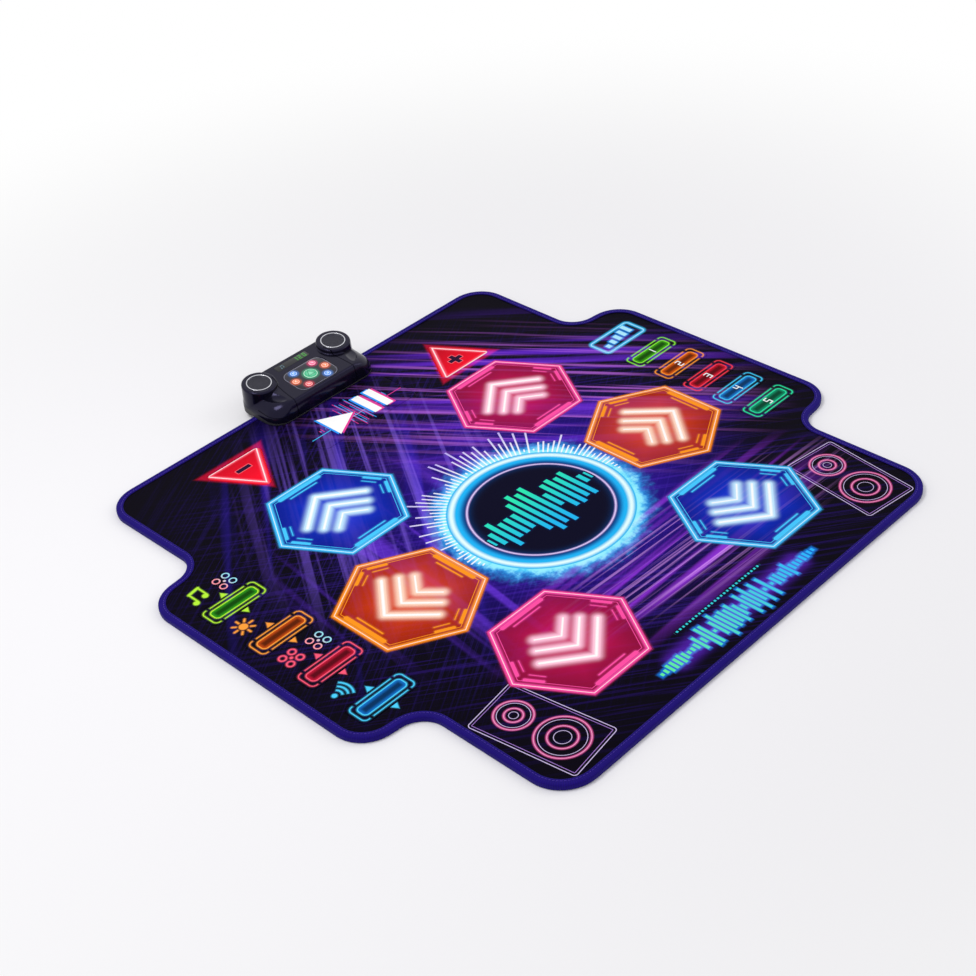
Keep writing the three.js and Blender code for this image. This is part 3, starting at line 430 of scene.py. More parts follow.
def from_stroke(point, start, end, width=0):
    run = Vector(end) - Vector(start)
    offset = node(VECTOR_SUBTRACT, point, (*start, 0))
    along = node(DOT, offset, (*(run / run.length_squared), 0))
    share = node(MULTIPLY, along, 1.0, use_clamp=True)
    foot = node(SCALED, Vector=(*run, 0), Scale=share)
    return node(SUBTRACT, node(LENGTH, node(VECTOR_SUBTRACT, offset, foot)), width / 2)


def from_polygon(point, flat_radius, sides, degrees, centre=(0, 0)):
    """A regular polygon with a flat side towards the turn's direction."""
    local = seen_from(point, centre, degrees)
    parts = node(PARTS, local)
    angle = node(ARCTAN2, parts.node.outputs["Y"], parts)
    folded = node(WRAP, angle, math.pi / sides, -math.pi / sides)
    reach = node(MULTIPLY, node(LENGTH, local), node(COSINE, folded))
    return node(SUBTRACT, reach, flat_radius)


def from_edge(distance, half_width):
    """A form's edge as a thin line."""
    return node(SUBTRACT, node(ABSOLUTE, distance), half_width)


def nearest(distances):
    """The union of forms."""
    return reduce(lambda whole, distance: node(MINIMUM, whole, distance), distances)


def ink(under, distance, colour, blur=0.35):
    """Lays an ink where the distance is below zero."""
    return node(MIX, node(SMOOTH, distance, -blur, blur, 1.0, 0.0), under, colour)


def glow(under, distance, colour, reach, strength=1.0):
    """Lights the print outside a form, fading over a reach."""
    near = node(SMOOTHER, distance, 0.0, reach, strength, 0.0)
    return node(SCREEN, node(MULTIPLY, near, near), under, colour)


def lit(under, distance, colour, reach, strength=1.0):
    """An inked form with its glow."""
    return ink(glow(under, distance, colour, reach, strength), distance, colour)


def neon(under, distance, colour, width, reach, core=0.8):
    """A lit line along a form's edge: its halo, the coloured line and a paler core."""
    edge = node(ABSOLUTE, distance)
    under = ink(glow(under, edge, colour, reach), node(SUBTRACT, edge, width / 2), colour)
    return ink(under, node(SUBTRACT, edge, width / 5), mixed(colour, WHITE, core), blur=width / 6)


def bar_row(point, pitch, reach, width, low, high, seed, centre=(0, 0)):
    """Upright bars in a row, each as tall as chance says, shorter towards the row's ends."""
    parts = node(PARTS, seen_from(point, centre))
    cell = node(ROUND, node(DIVIDE, parts, pitch))
    chance = node(CHANCE, node(ADD, cell, seed))
    out = node(MULTIPLY, cell, pitch / reach)
    arch = node(SUBTRACT, 1.0, node(MULTIPLY, out, out), use_clamp=True)
    tall = node(RANGE, node(MULTIPLY, chance, arch), 0.0, 1.0, low, high)
    across = from_edge(node(SUBTRACT, parts, node(MULTIPLY, cell, pitch)), width / 2)
    bar = node(MAXIMUM, across, from_edge(parts.node.outputs["Y"], tall))
    return node(MAXIMUM, bar, from_edge(parts, reach))


def shaded(point, axis, low, high, low_colour, high_colour):
    """A colour that runs from one to another along an axis of the print."""
    share = node(RANGE, node(PARTS, point).node.outputs[axis], low, high, 0.0, 1.0)
    return node(MIX, share, low_colour, high_colour)


# Seven-stroke numerals: the strokes of each, from the top one clockwise, the middle one last
STROKES = {"a": ((-1, 2), (1, 2)), "b": ((1, 2), (1, 0)), "c": ((1, 0), (1, -2)), "d": ((1, -2), (-1, -2)),
           "e": ((-1, -2), (-1, 0)), "f": ((-1, 0), (-1, 2)), "g": ((-1, 0), (1, 0))}
NUMERALS = {0: "abcdef", 1: "bc", 2: "abged", 3: "abgcd", 4: "fgbc", 5: "afgcd", 8: "abcdefg"}


def from_numeral(point, number, size, width, x=0):
    strokes = [[(x + across * size, up * size) for across, up in STROKES[letter]]
               for letter in NUMERALS[number]]
    return nearest(from_stroke(point, *ends, width) for ends in strokes)


# Ground of the print: families of long soft beams over near-black, each in a field of its own.
# Heading in degrees, width and length of a beam, middle and size of its field, colour, strength
BEAMS = [
    (-50, 30, 800, (215, 170), (430, 260), 0x5A22B8, 1.0),
    (-56, 13, 700, (190, 150), (420, 250), 0xA45BC4, 0.8),
    (-128, 34, 700, (-190, 110), (420, 260), 0x2A1A96, 0.9),
    (-122, 11, 600, (-120, 150), (380, 230), 0x6B4FC0, 0.6),
    (1, 22, 900, (40, -255), (350, 130), 0x8C30D0, 1.0),
    (-2, 8, 700, (80, -275), (330, 100), 0xCC8CE8, 0.8),
    (-97, 26, 760, (-150, -20), (300, 260), 0x5A2CC0, 0.8),
    (-38, 5, 260, (0, -60), (600, 560), 0x321880, 0.5),
    (31, 3.5, 200, (-60, 60), (560, 520), 0x2A1A70, 0.4),
]
GROUND_INK = 0x05020D


def ground(point):
    under = glow(GROUND_INK, from_disc(point, 90, (20, -50)), 0x3012A8, 330, 0.75)
    for number, (heading, width, length, middle, field, colour, strength) in enumerate(BEAMS):
        local = seen_from(point, middle, heading, (length, width))
        moved_on = node(VECTOR_ADD, local, (0, 0, 7.3 * number + 1.7))
        streaks = node(NOISE, moved_on, Scale=1.0, Detail=2.0, Roughness=0.6)
        beams = node(SMOOTH, streaks, 0.5, 0.66, 0.0, strength)
        spread = node(VECTOR_MULTIPLY, local, (length / field[0], width / field[1], 0))
        near = node(SMOOTH, node(LENGTH, spread), 0.35, 1.0, 1.0, 0.0)
        under = node(SCREEN, node(MULTIPLY, beams, near), under, colour)
    return under


def printed(name, art, *details):
    """Printed polyester face: dye-sublimated knit under a thin clear film, so the black stays deep
    and the sheen is broad; the knit shows as a faint tooth."""
    material, spot = new_material(f"{name}_print_on_polyester")
    point = node(VECTOR_MULTIPLY, spot, (1 / MM, 1 / MM, 0))
    knit = node(NOISE, point, Scale=0.9, Detail=3.0, Roughness=0.7)
    return surface(material, Base_Color=art(point, *details), Roughness=0.56, Specular_IOR_Level=0.025,
                   Normal=node(BUMP, Height=knit, Distance=0.05 * MM, Strength=1.0))


# Foot pads: which way the arrow points, its deep, middle and lit ink, and the slot
PAD_RADIUS = 108
PAD_FLAT_RADIUS = PAD_RADIUS * math.cos(math.pi / 6)
PAD_LINE_INSET = 4.5
PAD_HALO = 9
BLUE_INKS = (0x0A1C8C, 0x0A3CE8, 0x46C8FF)
PINK_INKS = (0x8A0C38, 0xD8145C, 0xFF4FA4)
ORANGE_INKS = (0xA02408, 0xEE4A10, 0xFF961E)
PADS = {
    "pad_rear_left": (0, BLUE_INKS, "pad_blue"),
    "pad_rear_right": (0, PINK_INKS, "pad_pink"),
    "pad_left": (90, ORANGE_INKS, "pad_orange"),
    "pad_right": (-90, ORANGE_INKS, "pad_orange"),
    "pad_front_left": (180, PINK_INKS, "pad_pink"),
    "pad_front_right": (180, BLUE_INKS, "pad_blue"),
}
# Strokes of a pad's bars and of its brackets, each with its ends and width
PAD_MARKS = [
    [((0, PAD_FLAT_RADIUS - 12), (36, PAD_FLAT_RADIUS - 12), 6.5),
     ((0, PAD_FLAT_RADIUS - 21), (24, PAD_FLAT_RADIUS - 21), 2.2)],
    [((76, 27), (88, 6), 4.5), ((68, 23), (78, 5), 1.4)],
]
# Arrow heads: where the tip is, how far its wings reach and drop, and the width of its line
PAD_ARROWS = [(47, 55, 46, 10), (16, 41, 34, 8), (-12, 27, 22, 6)]


def pad_hexagon(point, name):
    """A pad's hexagon, and the print as seen from its middle."""
    local = seen_from(point, middle_of(name), PADS[name][0])
    return local, from_polygon(local, PAD_FLAT_RADIUS, 6, 30)


def pad_art(point, name):
    """A lit hexagon frame with bars on two sides, brackets on the side points, and three nested
    arrow heads that point away from the mat's middle."""
    _, (deep, middle, bright), _ = PADS[name]
    local, hexagon = pad_hexagon(point, name)
    rise = node(SMOOTH, hexagon, -PAD_FLAT_RADIUS, 0.0, 0.25, 1.0)
    under = node(SCREEN, 0.15, node(MIX, rise, middle, deep), ground(point))
    under = neon(under, node(ADD, hexagon, PAD_LINE_INSET), bright, 2.4, PAD_HALO)
    under = ink(under, from_edge(node(ADD, hexagon, 12.0), 0.5), bright)
    quarter = node(VECTOR_ABSOLUTE, local)
    for strokes in PAD_MARKS:
        under = lit(under, nearest(from_stroke(quarter, *stroke) for stroke in strokes), bright, 4, 0.5)
    half = mirrored(local)
    for tip, wing, drop, width in PAD_ARROWS:
        head = from_stroke(half, (0, tip), (wing, tip - drop))
        under = neon(under, head, mixed(bright, WHITE, 0.5), width, 19, core=1.0)
    return under


# Keys with a capsule: the slot, and the inks of its middle and of its light
KEYS = {
    "key_mode_1": ("key_green", 0x2E9A1E, 0xB6F03A),
    "key_mode_2": ("key_orange", 0xC24A12, 0xFFA03C),
    "key_mode_3": ("key_red", 0xC01838, 0xFF5A78),
    "key_mode_4": ("key_blue", 0x1470C8, 0x4CD2FF),
    "key_level_1": ("key_green", 0x3AA012, 0x8CF03C),
    "key_level_2": ("key_orange", 0xD8560E, 0xFF9A2E),
    "key_level_3": ("key_red", 0xC4122C, 0xFF3C50),
    "key_level_4": ("key_blue", 0x1A78D0, 0x46D0FF),
    "key_level_5": ("key_teal", 0x10946A, 0x2EE8A8),
}


def key_art(point, name):
    """A capsule, lit at its rim and dark in its middle, in a thin broken frame; the level keys
    hold a numeral."""
    _, fill, bright = KEYS[name]
    local = seen_from(point, middle_of(name))
    line = from_edge(from_bar(local, 87, 32, 7), 0.75)
    shares = (from_bar(local, 58, 60), node(MULTIPLY, from_bar(local, 70, 60), -1.0))
    under = lit(ground(point), nearest(node(MAXIMUM, line, share) for share in shares), bright, 3, 0.5)
    pill = from_bar(local, 74, 20, 7)
    depth = node(SMOOTH, pill, -8.5, -1.0, 0.0, 1.0)
    under = ink(glow(under, pill, bright, 3, 0.6), pill, node(MIX, depth, mixed(fill, BLACK, 0.8), fill))
    under = ink(under, from_edge(node(ADD, pill, 0.8), 0.8), bright)
    if "level" in name:
        under = ink(under, from_numeral(local, int(name[-1]), 3.2, 1.9), 0xF8FDFF)
    return under


VOLUME_KEYS = ("key_minus", "key_plus")
VOLUME_FLAT_RADIUS = 31.5


def volume_triangle(point, name):
    """A volume key's triangle, and the print as seen from its middle."""
    side = -1 if name == "key_plus" else 1
    local = seen_from(point, middle_of(name) + Vector((0, side * VOLUME_FLAT_RADIUS / 2)))
    return local, from_polygon(local, VOLUME_FLAT_RADIUS, 3, side * 90)


def volume_art(point, name):
    """A red triangle in a lit frame, with a dark plus or minus sign."""
    local, triangle = volume_triangle(point, name)
    under = shaded(local, "Y", -32, 60, 0xF8102C, 0xB00A20)
    under = neon(under, node(ADD, triangle, 5.0), 0xFF6478, 4.0, 8, core=0.9)
    sign = from_bar(local, 25, 8, 0.6)
    if name == "key_plus":
        sign = nearest([sign, from_bar(local, 8, 25, 0.6)])
    return ink(ink(under, node(SUBTRACT, sign, 1.2), 0xFF6A78), sign, 0x2A1030)


def start_art(point, name):
    """Play and pause signs in white, each with a blue and a pink ghost, among upright streaks."""
    under = ground(point)
    local = seen_from(point, middle_of(name))
    for seed, colour, shift in ((3.0, 0x38A8FF, -1.4), (17.0, 0xE8409C, 1.6)):
        under = ink(under, bar_row(seen_from(local, (shift, 0)), 4.6, 84, 1.1, -14, 44, seed), colour)
    line = from_stroke(local, (-90, -9), (90, -9), 1.4)
    under = ink(under, line, shaded(local, "X", -60, 60, 0x38C8FF, 0xE8409C))
    for shift, colour in (((-3.4, 2.2), 0x2C9CFF), ((3.4, -2.2), 0xE8409C), ((0, 0), WHITE)):
        ghost = seen_from(local, shift)
        play = from_polygon(ghost, 16.5, 3, 180, (-34, 0))
        pause = [from_bar(ghost, 14, 56, 1.0, (x, 0)) for x in (27, 51)]
        under = ink(under, nearest([play, *pause]), colour)
    return under


# Top sheet artwork
RING_CENTRE = (0, -54)
RING_IN, RING_OUT = 119, 133


def ring_art(under, point):
    """The lit ring in the middle, with a burst and rays outside and an equaliser inside."""
    local = seen_from(point, RING_CENTRE)
    rim = from_disc(local, RING_OUT)
    parts = node(PARTS, local)
    run = node(MULTIPLY, node(ARCTAN2, parts, parts.node.outputs["Y"]), RING_OUT)
    polar = node(COMBINE, run, rim)
    rays = bar_row(polar, 6.6, 232, 2.1, 2, 66, 5.0, (0, 8))
    rays = node(MAXIMUM, rays, node(SUBTRACT, -2.0, rim))
    ragged = node(NOISE, local, Scale=0.045, Detail=3.0, Roughness=0.7)
    burst = node(ADD, rim, node(RANGE, ragged, 0.3, 0.7, -9.0, 12.0))
    under = glow(under, burst, 0x18A0F0, 48)
    under = glow(under, burst, 0x9CECFF, 24, 0.9)
    under = ink(under, rays, shaded(polar, "Y", 4, 70, WHITE, 0xB9A6F2))
    under = ink(under, rim, 0x070620)
    half_width = (RING_OUT - RING_IN) / 2
    band = node(ABSOLUTE, from_disc(local, RING_IN + half_width))
    under = glow(under, band, 0x1070D8, 46, 0.8)
    under = neon(under, from_disc(local, 104), 0xC7A8E8, 1.4, 4)
    colour = node(MIX, node(SMOOTH, band, 0.0, half_width, 0.0, 1.0), 0xE6FFFF, 0x10B4F0)
    wide = node(SUBTRACT, band, half_width)
    under = ink(glow(under, wide, 0x18A8F0, 16), wide, colour, blur=2.0)
    bars = bar_row(local, 12.5, 100, 7.5, 9, 84, 31.0)
    under = ink(under, node(SUBTRACT, bars, 2.4), 0x07123A)
    return ink(under, bars, shaded(local, "Y", -40, 44, 0x22B4F0, 0x2DE6B0))


def front_band(under, point):
    """A row of sound bars before the front pads, with a dotted line above it."""
    under = glow(under, from_bar(point, 250, 6, 3, (0, -400)), 0x4A1C9C, 34)
    under = ink(under, bar_row(point, 6.4, 88, 3.2, 1.6, 1.6, 2.0, (0, -366)), 0x38D6E0)
    bars = bar_row(point, 7.4, 158, 4.4, 2.5, 31, 11.0, (0, -402))
    return ink(glow(under, bars, 0x1470D0, 7), bars, shaded(point, "X", -150, 150, 0x62F09A, 0x2CB8FF))


def speaker_art(under, point):
    """A loudspeaker in line art at each front corner, the same on both sides."""
    half = seen_from(mirrored(point), (317, -349), -8)
    box = from_bar(half, 90, 158, 5)
    under = ink(under, from_edge(box, 0.55), 0xD9C8F4)
    under = ink(under, from_edge(node(ADD, box, 4.0), 0.35), 0xB98AE8)
    for y, radii in ((42, (25, 21, 12, 6)), (-30, (35, 30, 19, 11))):
        middle = from_disc(half, centre=(0, y))
        for number, radius in enumerate(radii):
            ring = node(SUBTRACT, middle, radius)
            if number % 2:
                under = ink(under, from_edge(ring, 0.4), 0xD9C8F4)
            else:
                under = neon(under, ring, 0xE05AA0, 1.3, 4, core=0.5)
    return under


def note_icon(local):
    heads = [from_disc(local, 4.2, (x, y)) for x, y in ((-9, -9), (8, -6))]
    stems = [from_stroke(local, (x, y), (x, y + 20), 2.2) for x, y in ((-5.6, -8), (11.4, -5))]
    return nearest([*heads, *stems, from_stroke(local, (-5.6, 12), (11.4, 15), 4.0)])


def sun_icon(local):
    parts = node(PARTS, local)
    angle = node(ARCTAN2, parts.node.outputs["Y"], parts)
    length = node(LENGTH, local)
    ray = node(COMBINE, length, node(MULTIPLY, node(WRAP, angle, math.pi / 8, -math.pi / 8), length))
    return nearest([from_disc(local, 6), from_stroke(ray, (10, 0), (15, 0), 2.4)])


def four_ring_icon(local):
    ring = from_edge(from_disc(node(VECTOR_ABSOLUTE, local), 5, (8, 8)), 1.0)
    return nearest([ring, from_disc(local, 2.2)])


def wave_icon(local):
    local = seen_from(local, (-12, 0))
    middle = from_disc(local)
    arcs = nearest(from_edge(node(SUBTRACT, middle, radius), 1.1) for radius in (10, 17, 24))
    side = node(DOT, node(VECTOR_ABSOLUTE, local), (-0.75, 1, 0))
    cone = node(MAXIMUM, side, node(MULTIPLY, node(PARTS, local), -1.0))
    return nearest([from_disc(local, 3.4), node(MAXIMUM, arcs, cone)])


MODE_ICONS = [note_icon, sun_icon, four_ring_icon, wave_icon]


def icon_art(under, point):
    """A pictogram above each mode key, and rising bars in a frame above the level keys."""
    for number, icon in enumerate(MODE_ICONS):
        name = f"key_mode_{number + 1}"
        colour = KEYS[name][2]
        middle = middle_of(name)
        for side in (-1, 1):
            tick = from_polygon(point, 1.9, 3, -90 * side, middle + Vector((0, side * 24)))
            under = lit(under, tick, colour, 4)
        under = lit(under, icon(seen_from(point, middle + Vector((-24, 48)))), colour, 3, 0.6)
        if number in (0, 2):
            local = seen_from(point, middle + Vector((20, 46)))
            under = ink(under, four_ring_icon(local), shaded(local, "X", -6, 6, 0xFF9CA8, 0x9CE0F0))
    local = seen_from(point, middle_of("key_level_1") + Vector((0, 70)))
    under = neon(under, from_bar(local, 88, 40, 6), 0x3CC8FF, 2.0, 8)
    rising = nearest(from_bar(local, 8, 9 + 6.4 * (i + 2) / 2, 0.8, (14 * i, 3.2 * i))
                     for i in range(-2, 3))
    return ink(glow(under, rising, 0x1C8CE8, 6), rising, 0xAEEBFF)


def sheet_art(point):
    """The whole sheet: the light that the pads' frames and the volume keys throw on the ground,
    and the printed forms."""
    under = ground(point)
    for name, (_, inks, _) in PADS.items():
        _, hexagon = pad_hexagon(point, name)
        under = glow(under, node(ADD, hexagon, PAD_LINE_INSET), inks[2], PAD_HALO)
    for name in VOLUME_KEYS:
        _, triangle = volume_triangle(point, name)
        under = glow(under, triangle, 0xFF1440, 10, 0.65)
    for art in (ring_art, front_band, speaker_art, icon_art):
        under = art(under, point)
    return under


# Finishes. A noise is given as its scale per metre, its detail and its roughness.
NOISE_INPUTS = ("Scale", "Detail", "Roughness")


def mottled(name, colours, roughness, tone=None, relief=None, depth=0, **others):
    """A finish that varies with noise: the tone mixes two colours and spreads a range of
    roughness, and the relief stands as high as the depth."""
    material, spot = new_material(name)
    if tone:
        tone = node(NOISE, spot, **dict(zip(NOISE_INPUTS, tone)))
    if relief:
        height = node(NOISE, spot, **dict(zip(NOISE_INPUTS, relief)))
        others["Normal"] = node(BUMP, Height=height, Distance=depth * MM, Strength=1.0)
    return surface(material, Base_Color=node(MIX, tone, *colours) if len(colours) > 1 else colours[0],
                   Roughness=node(RANGE, tone, *roughness) if isinstance(roughness, tuple) else roughness,
                   **others)


# Moulded ABS, polished tool: a deep black that mirrors the room, with a slight orange-peel; its reflections
# are tinted lavender, a painted reflection of violet light
GLOSS_ABS = mottled("gloss_moulded_abs", [0x0B0A16], (0.35, 0.7, 0.12, 0.22), (23, 4), (160, 2), 0.02,
                    IOR=1.54, Specular_IOR_Level=0.3, Specular_Tint=0xB9B2F2)
# Moulded ABS from a spark-eroded tool: matt black with a fine pebble, drawn a little coarse
TEXTURED_ABS, SWITCH_ABS = (
    mottled(name, [colour, mixed(colour, WHITE, 0.03)], 0.56, (40, 3), (1400, 2, 0.7), 0.06, IOR=1.54)
    for name, colour in (("spark_textured_abs", 0x121118), ("matt_switch_cap", 0x2A2A30)))
# Chrome-plated ABS: a cool mirror with faint polishing haze
CHROME = mottled("chrome_plated_rim", [0xCFCFD6], (0.3, 0.7, 0.12, 0.28), (300, 3), Metallic=1.0)
# Punched steel sheet, powder coated in dark grey: satin, with a fine orange-peel
MESH_STEEL = mottled("powder_coated_steel_mesh", [0x2A2938], 0.42, None, (2600, 2), 0.03)
# Zinc-plated, pressed and nickel-plated steel: a pale satin metal with a crystalline mottle
ZINC_STEEL, BASKET_STEEL, CONTACT_STEEL = (
    mottled(name, [colour], (0.3, 0.7, 0.28, 0.46), (520, 4), Metallic=1.0)
    for name, colour in (("zinc_plated_steel", 0xA9AAAE), ("pressed_steel_basket", 0x8E9096),
                         ("nickel_plated_spring_steel", 0xB4B1A8)))
# Pressed paper pulp, dyed dark: matt and slightly fibrous
PAPER = mottled("pressed_paper_cone", [0x17171C, 0x2B2A30], 0.9, (900, 4, 0.7), (900, 4, 0.7), 0.08,
                Specular_IOR_Level=0.2)
# Epoxy-filled digit module: a dark satin face with a faint mottle
RESIN = mottled("epoxy_filled_digit_module", [0x1B1D1E, 0x2A2D2E], 0.5, (600, 2))
# Spun polyester thread, violet: a soft twisted fibre, brighter than the tape
THREAD = mottled("spun_polyester_thread", [0x3A1C9A, 0x5A36C4], 0.7, (1800, 2),
                 Sheen_Weight=0.3, Sheen_Roughness=0.4)
# Screen-printed PVC dots: black, rubbery and slightly glossy, with a faint orange-peel
GRIP_RUBBER = mottled("screen_printed_pvc_dots", [0x101012, 0x1C1C20], 0.5, (900, 2), (900, 2), 0.04)
# PVC-coated nonwoven: black, dull, with the cloth's felted relief under the coat
COATED_CLOTH = mottled("pvc_coated_nonwoven", [0x17171A, 0x222226], 0.8, (18, 3), (520, 4, 0.7), 0.15,
                       Specular_IOR_Level=0.3)


def cellular(name, colour, cell):
    """Cellular foam: chalky, with the cut cells as fine pits whose hollows hold painted shade."""
    material, spot = new_material(name)
    pit_depth_and_shade = node("ShaderNodeTexVoronoi", spot, Scale=1 / (cell * MM))
    # Painted shade: each pit is darker towards its bottom
    return surface(material, Base_Color=node(MIX, pit_depth_and_shade, mixed(colour, BLACK, 0.2), colour), Roughness=0.95,
                   Specular_IOR_Level=0.2, Normal=node(BUMP, Height=pit_depth_and_shade, Distance=0.2 * MM, Strength=1.0))


def circuit_film():
    """Polyester film with printed carbon tracks: clear grey, satin, with dark parallel lines."""
    material, spot = new_material("carbon_printed_polyester_film")
    lines = node(RANGE, node(WAVE, spot, Scale=20.0, Distortion=0.0), 0.86, 0.92, 0.0, 1.0)
    return surface(material, Base_Color=node(MIX, lines, 0xB9BEC4, 0x2A2C30), Roughness=0.34, IOR=1.57)


def board_laminate():
    """Glass-fibre laminate under green solder mask: glossy, with paler copper tracks below."""
    material, spot = new_material("solder_masked_laminate")
    tracks = node("ShaderNodeTexBrick", spot, Scale=140.0, Color1=0x0F4A28, Color2=0x135733,
                  Mortar=0x2C8A50, Mortar_Size=0.04)
    return surface(material, Base_Color=tracks, Roughness=0.32, IOR=1.55)


def cell_sleeve():
    """Shrunk PVC sleeve over a steel can: slate with a copper band at the positive end, and the
    bare nickel-plated ends. The UV map runs along the cell, in millimetres."""
    material, spot = new_material("shrunk_pvc_sleeve")
    run = node("ShaderNodeUVMap", tree=spot.id_data, uv_map="run")
    along = node(PARTS, run).node.outputs["Y"]
    scuff = node(NOISE, spot, Scale=260.0, Detail=4.0)
    band = from_edge(node(SUBTRACT, along, 47.0), 6.0)
    body = ink(node(MIX, scuff, 0x1E2630, 0x2A343F), band, 0xA86A3A, blur=0.15)
    metal = node(RANGE, node(ABSOLUTE, node(SUBTRACT, along, 28.5)), 23.4, 23.6, 0.0, 1.0)
    return surface(material, Base_Color=node(MIX, metal, body, 0xB4B4B6), Metallic=metal,
                   Roughness=node(RANGE, scuff, 0.3, 0.7, 0.24, 0.38))


# The real weave is too fine to show, so the ribs are drawn this far apart
RIB_PITCH = 2.4
WAVE_UNIT = 2 * math.pi / 20


def tape_cloth():
    """Woven polyester tape, dyed indigo: fine ribs across the tape, matt with a soft sheen."""
    material, spot = new_material("woven_polyester_tape")
    run = node("ShaderNodeUVMap", tree=spot.id_data, uv_map="run")
    ribs = node(WAVE, run, bands_direction="X", Scale=WAVE_UNIT / RIB_PITCH, Distortion=0.6, Detail=2.0,
                Detail_Scale=2.0)
    dyed = node(MIX, node(NOISE, spot, Scale=45.0, Detail=4.0), 0x150668, 0x200A80)
    colour = node(MIX, node(MULTIPLY, ribs, 0.35), dyed, 0x12064A)
    return surface(material, Base_Color=colour, Roughness=0.82, Specular_IOR_Level=0.1, Sheen_Weight=0.08,
                   Sheen_Roughness=0.4,
                   Normal=node(BUMP, Height=ribs, Distance=0.12 * MM, Strength=1.0))


# The laid mat
KEY_KINDS = {
    **{name: (volume_art, "key_red") for name in VOLUME_KEYS},
    "key_start": (start_art, "key_white"),
    **{name: (key_art, slot) for name, (slot, _, _) in KEYS.items()},
}
KEY_LIFT = 0.15
VOLUME_REACH = 2 * VOLUME_FLAT_RADIUS
SHEET_UNDER_BINDING = 4
PAD_CROWN = 0.7
SPONGE_HOLE = 17
SPONGE_PITCH = 62


def pad_loop(name):
    low, high = box_of(name)
    turn = 0 if high.x - low.x > high.y - low.y else math.pi / 6
    return polygon(*middle_of(name), PAD_RADIUS, 6, turn, 6)


def key_loop(name):
    low, high = box_of(name)
    middle = middle_of(name)
    if name in VOLUME_KEYS:
        side = 1 if name == "key_plus" else -1
        y = low.y + VOLUME_FLAT_RADIUS if side > 0 else high.y - VOLUME_FLAT_RADIUS
        return polygon(middle.x, y, VOLUME_REACH, 3, side * math.pi / 2, 8)
    return rectangle(*middle, high.x - low.x, high.y - low.y, 9)


def make_sponge(name, foam):
    """The perforated sponge under a pad, which the pad presses flat."""
    node_name = name.replace("pad", "sponge")
    low, high = box_of(node_name)
    outline = pad_loop(name)
    middle = sum((corner for corner, _ in outline), Vector((0, 0))) / len(outline)
    places = [middle, *(middle + (corner - middle).normalized() * SPONGE_PITCH for corner, _ in outline)]
    holes = [rectangle(*at, 2 * SPONGE_HOLE, 2 * SPONGE_HOLE, SPONGE_HOLE) for at in places]
    loops = [drawn_in(outline, SEAM_GAP), *holes]
    mesh = patch(f"cut_{node_name}", loops, low.z, lambda x, y: high.z, foam, step=7, sink=0)
    sponge = piece(f"cut_{node_name}", mesh, "mat", "foam", node_name)
    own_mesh(sponge)


def make_mat():
    loops = [*map(pad_loop, PADS), *map(key_loop, KEY_KINDS)]
    outer = drawn_in(OUTLINE, BINDING_WIDTH - SHEET_UNDER_BINDING)
    openings = [drawn_in(loop, -SEAM_GAP) for loop in loops]
    mesh = patch("printed_sheet", [outer, *openings], sheet_foot + 0.05,
                 lambda x, y: sheet_top + swell_at(x, y), printed("sheet", sheet_art))
    sheet = piece("printed_sheet", mesh, "mat", "top_print", "top_sheet")
    foam = cellular("open_cell_spacer_sponge", 0xD6D8DE, 1.1)
    for name, (_, _, slot) in PADS.items():
        middle = middle_of(name)

        def height(x, y, middle=middle):
            away = math.hypot(x - middle.x, y - middle.y) / PAD_FLAT_RADIUS
            return sheet_top + swell_at(x, y) + PAD_CROWN * max(0.0, 1 - away ** 4)

        mesh = patch(f"printed_{name}", [pad_loop(name)], box_of(name)[0].z, height,
                     printed(name, pad_art, name), step=6)
        piece(f"printed_{name}", mesh, name, slot, name)
        make_sponge(name, foam)
    for name, (art, slot) in KEY_KINDS.items():
        mesh = patch(f"printed_{name}", [key_loop(name)], box_of(name)[0].z,
                     lambda x, y: sheet_top + swell_at(x, y) + KEY_LIFT, printed(name, art, name), step=5)
        piece(f"printed_{name}", mesh, name, slot, name)


# Mesh work for the rigid pieces
ENDS = {"left": -1, "right": 1}
CREASE = math.radians(32)
CUT_CREASE = math.radians(40)
FLAT_EDGE, SHARP_EDGE = 0.02, 0.6


def skinned(name, rings, material=None, closed=False):
    """A skin through rings of equal count, closed on itself or capped at both ends. Its UV map
    runs along the rings and round them, in millimetres."""
    count = len(rings[0])
    rings = [[Vector(point) for point in ring] for ring in rings]
    faces, places = [], []
    along = 0
    for i in range(len(rings) if closed else len(rings) - 1):
        after = (i + 1) % len(rings)
        on = along + (rings[after][0] - rings[i][0]).length
        around = 0
        for k in range(count):
            m = (k + 1) % count
            over = around + (rings[i][m] - rings[i][k]).length
            faces.append((i * count + k, i * count + m, after * count + m, after * count + k))
            places += [(along, around), (along, over), (on, over), (on, around)]
            around = over
        along = on
    total = len(rings) * count
    if not closed:
        faces += [tuple(range(count)), tuple(range(total - count, total))]
        places += [(0, 0)] * (2 * count)
    mesh = bpy.data.meshes.new(name)
    mesh.from_pydata([tuple(point) for ring in rings for point in ring], [], faces)
    mesh.uv_layers.new(name="run").data.foreach_set("uv", [part for spot in places for part in spot])
    return settled(mesh, material)


def creased(mesh, angle=CREASE):
    """Shades a mesh smooth but for its sharp edges."""
    mesh.polygons.foreach_set("use_smooth", [True] * len(mesh.polygons))
    mesh.set_sharp_from_angle(angle=angle)
    return mesh


def moved(mesh, *place):
    """A mesh at a place, which is a matrix or three distances."""
    mesh.transform(place[0] if len(place) == 1 else Matrix.Translation(place))
    return mesh


def turned(name, profile, material=None, steps=48):
    """A turned piece about Z, from pairs of radius and height that close through the axis."""
    angles = [2 * math.pi * step / steps for step in range(steps)]
    rings = [[(r * math.cos(angle), r * math.sin(angle), z) for r, z in profile] for angle in angles]
    return creased(skinned(name, rings, material, closed=True))


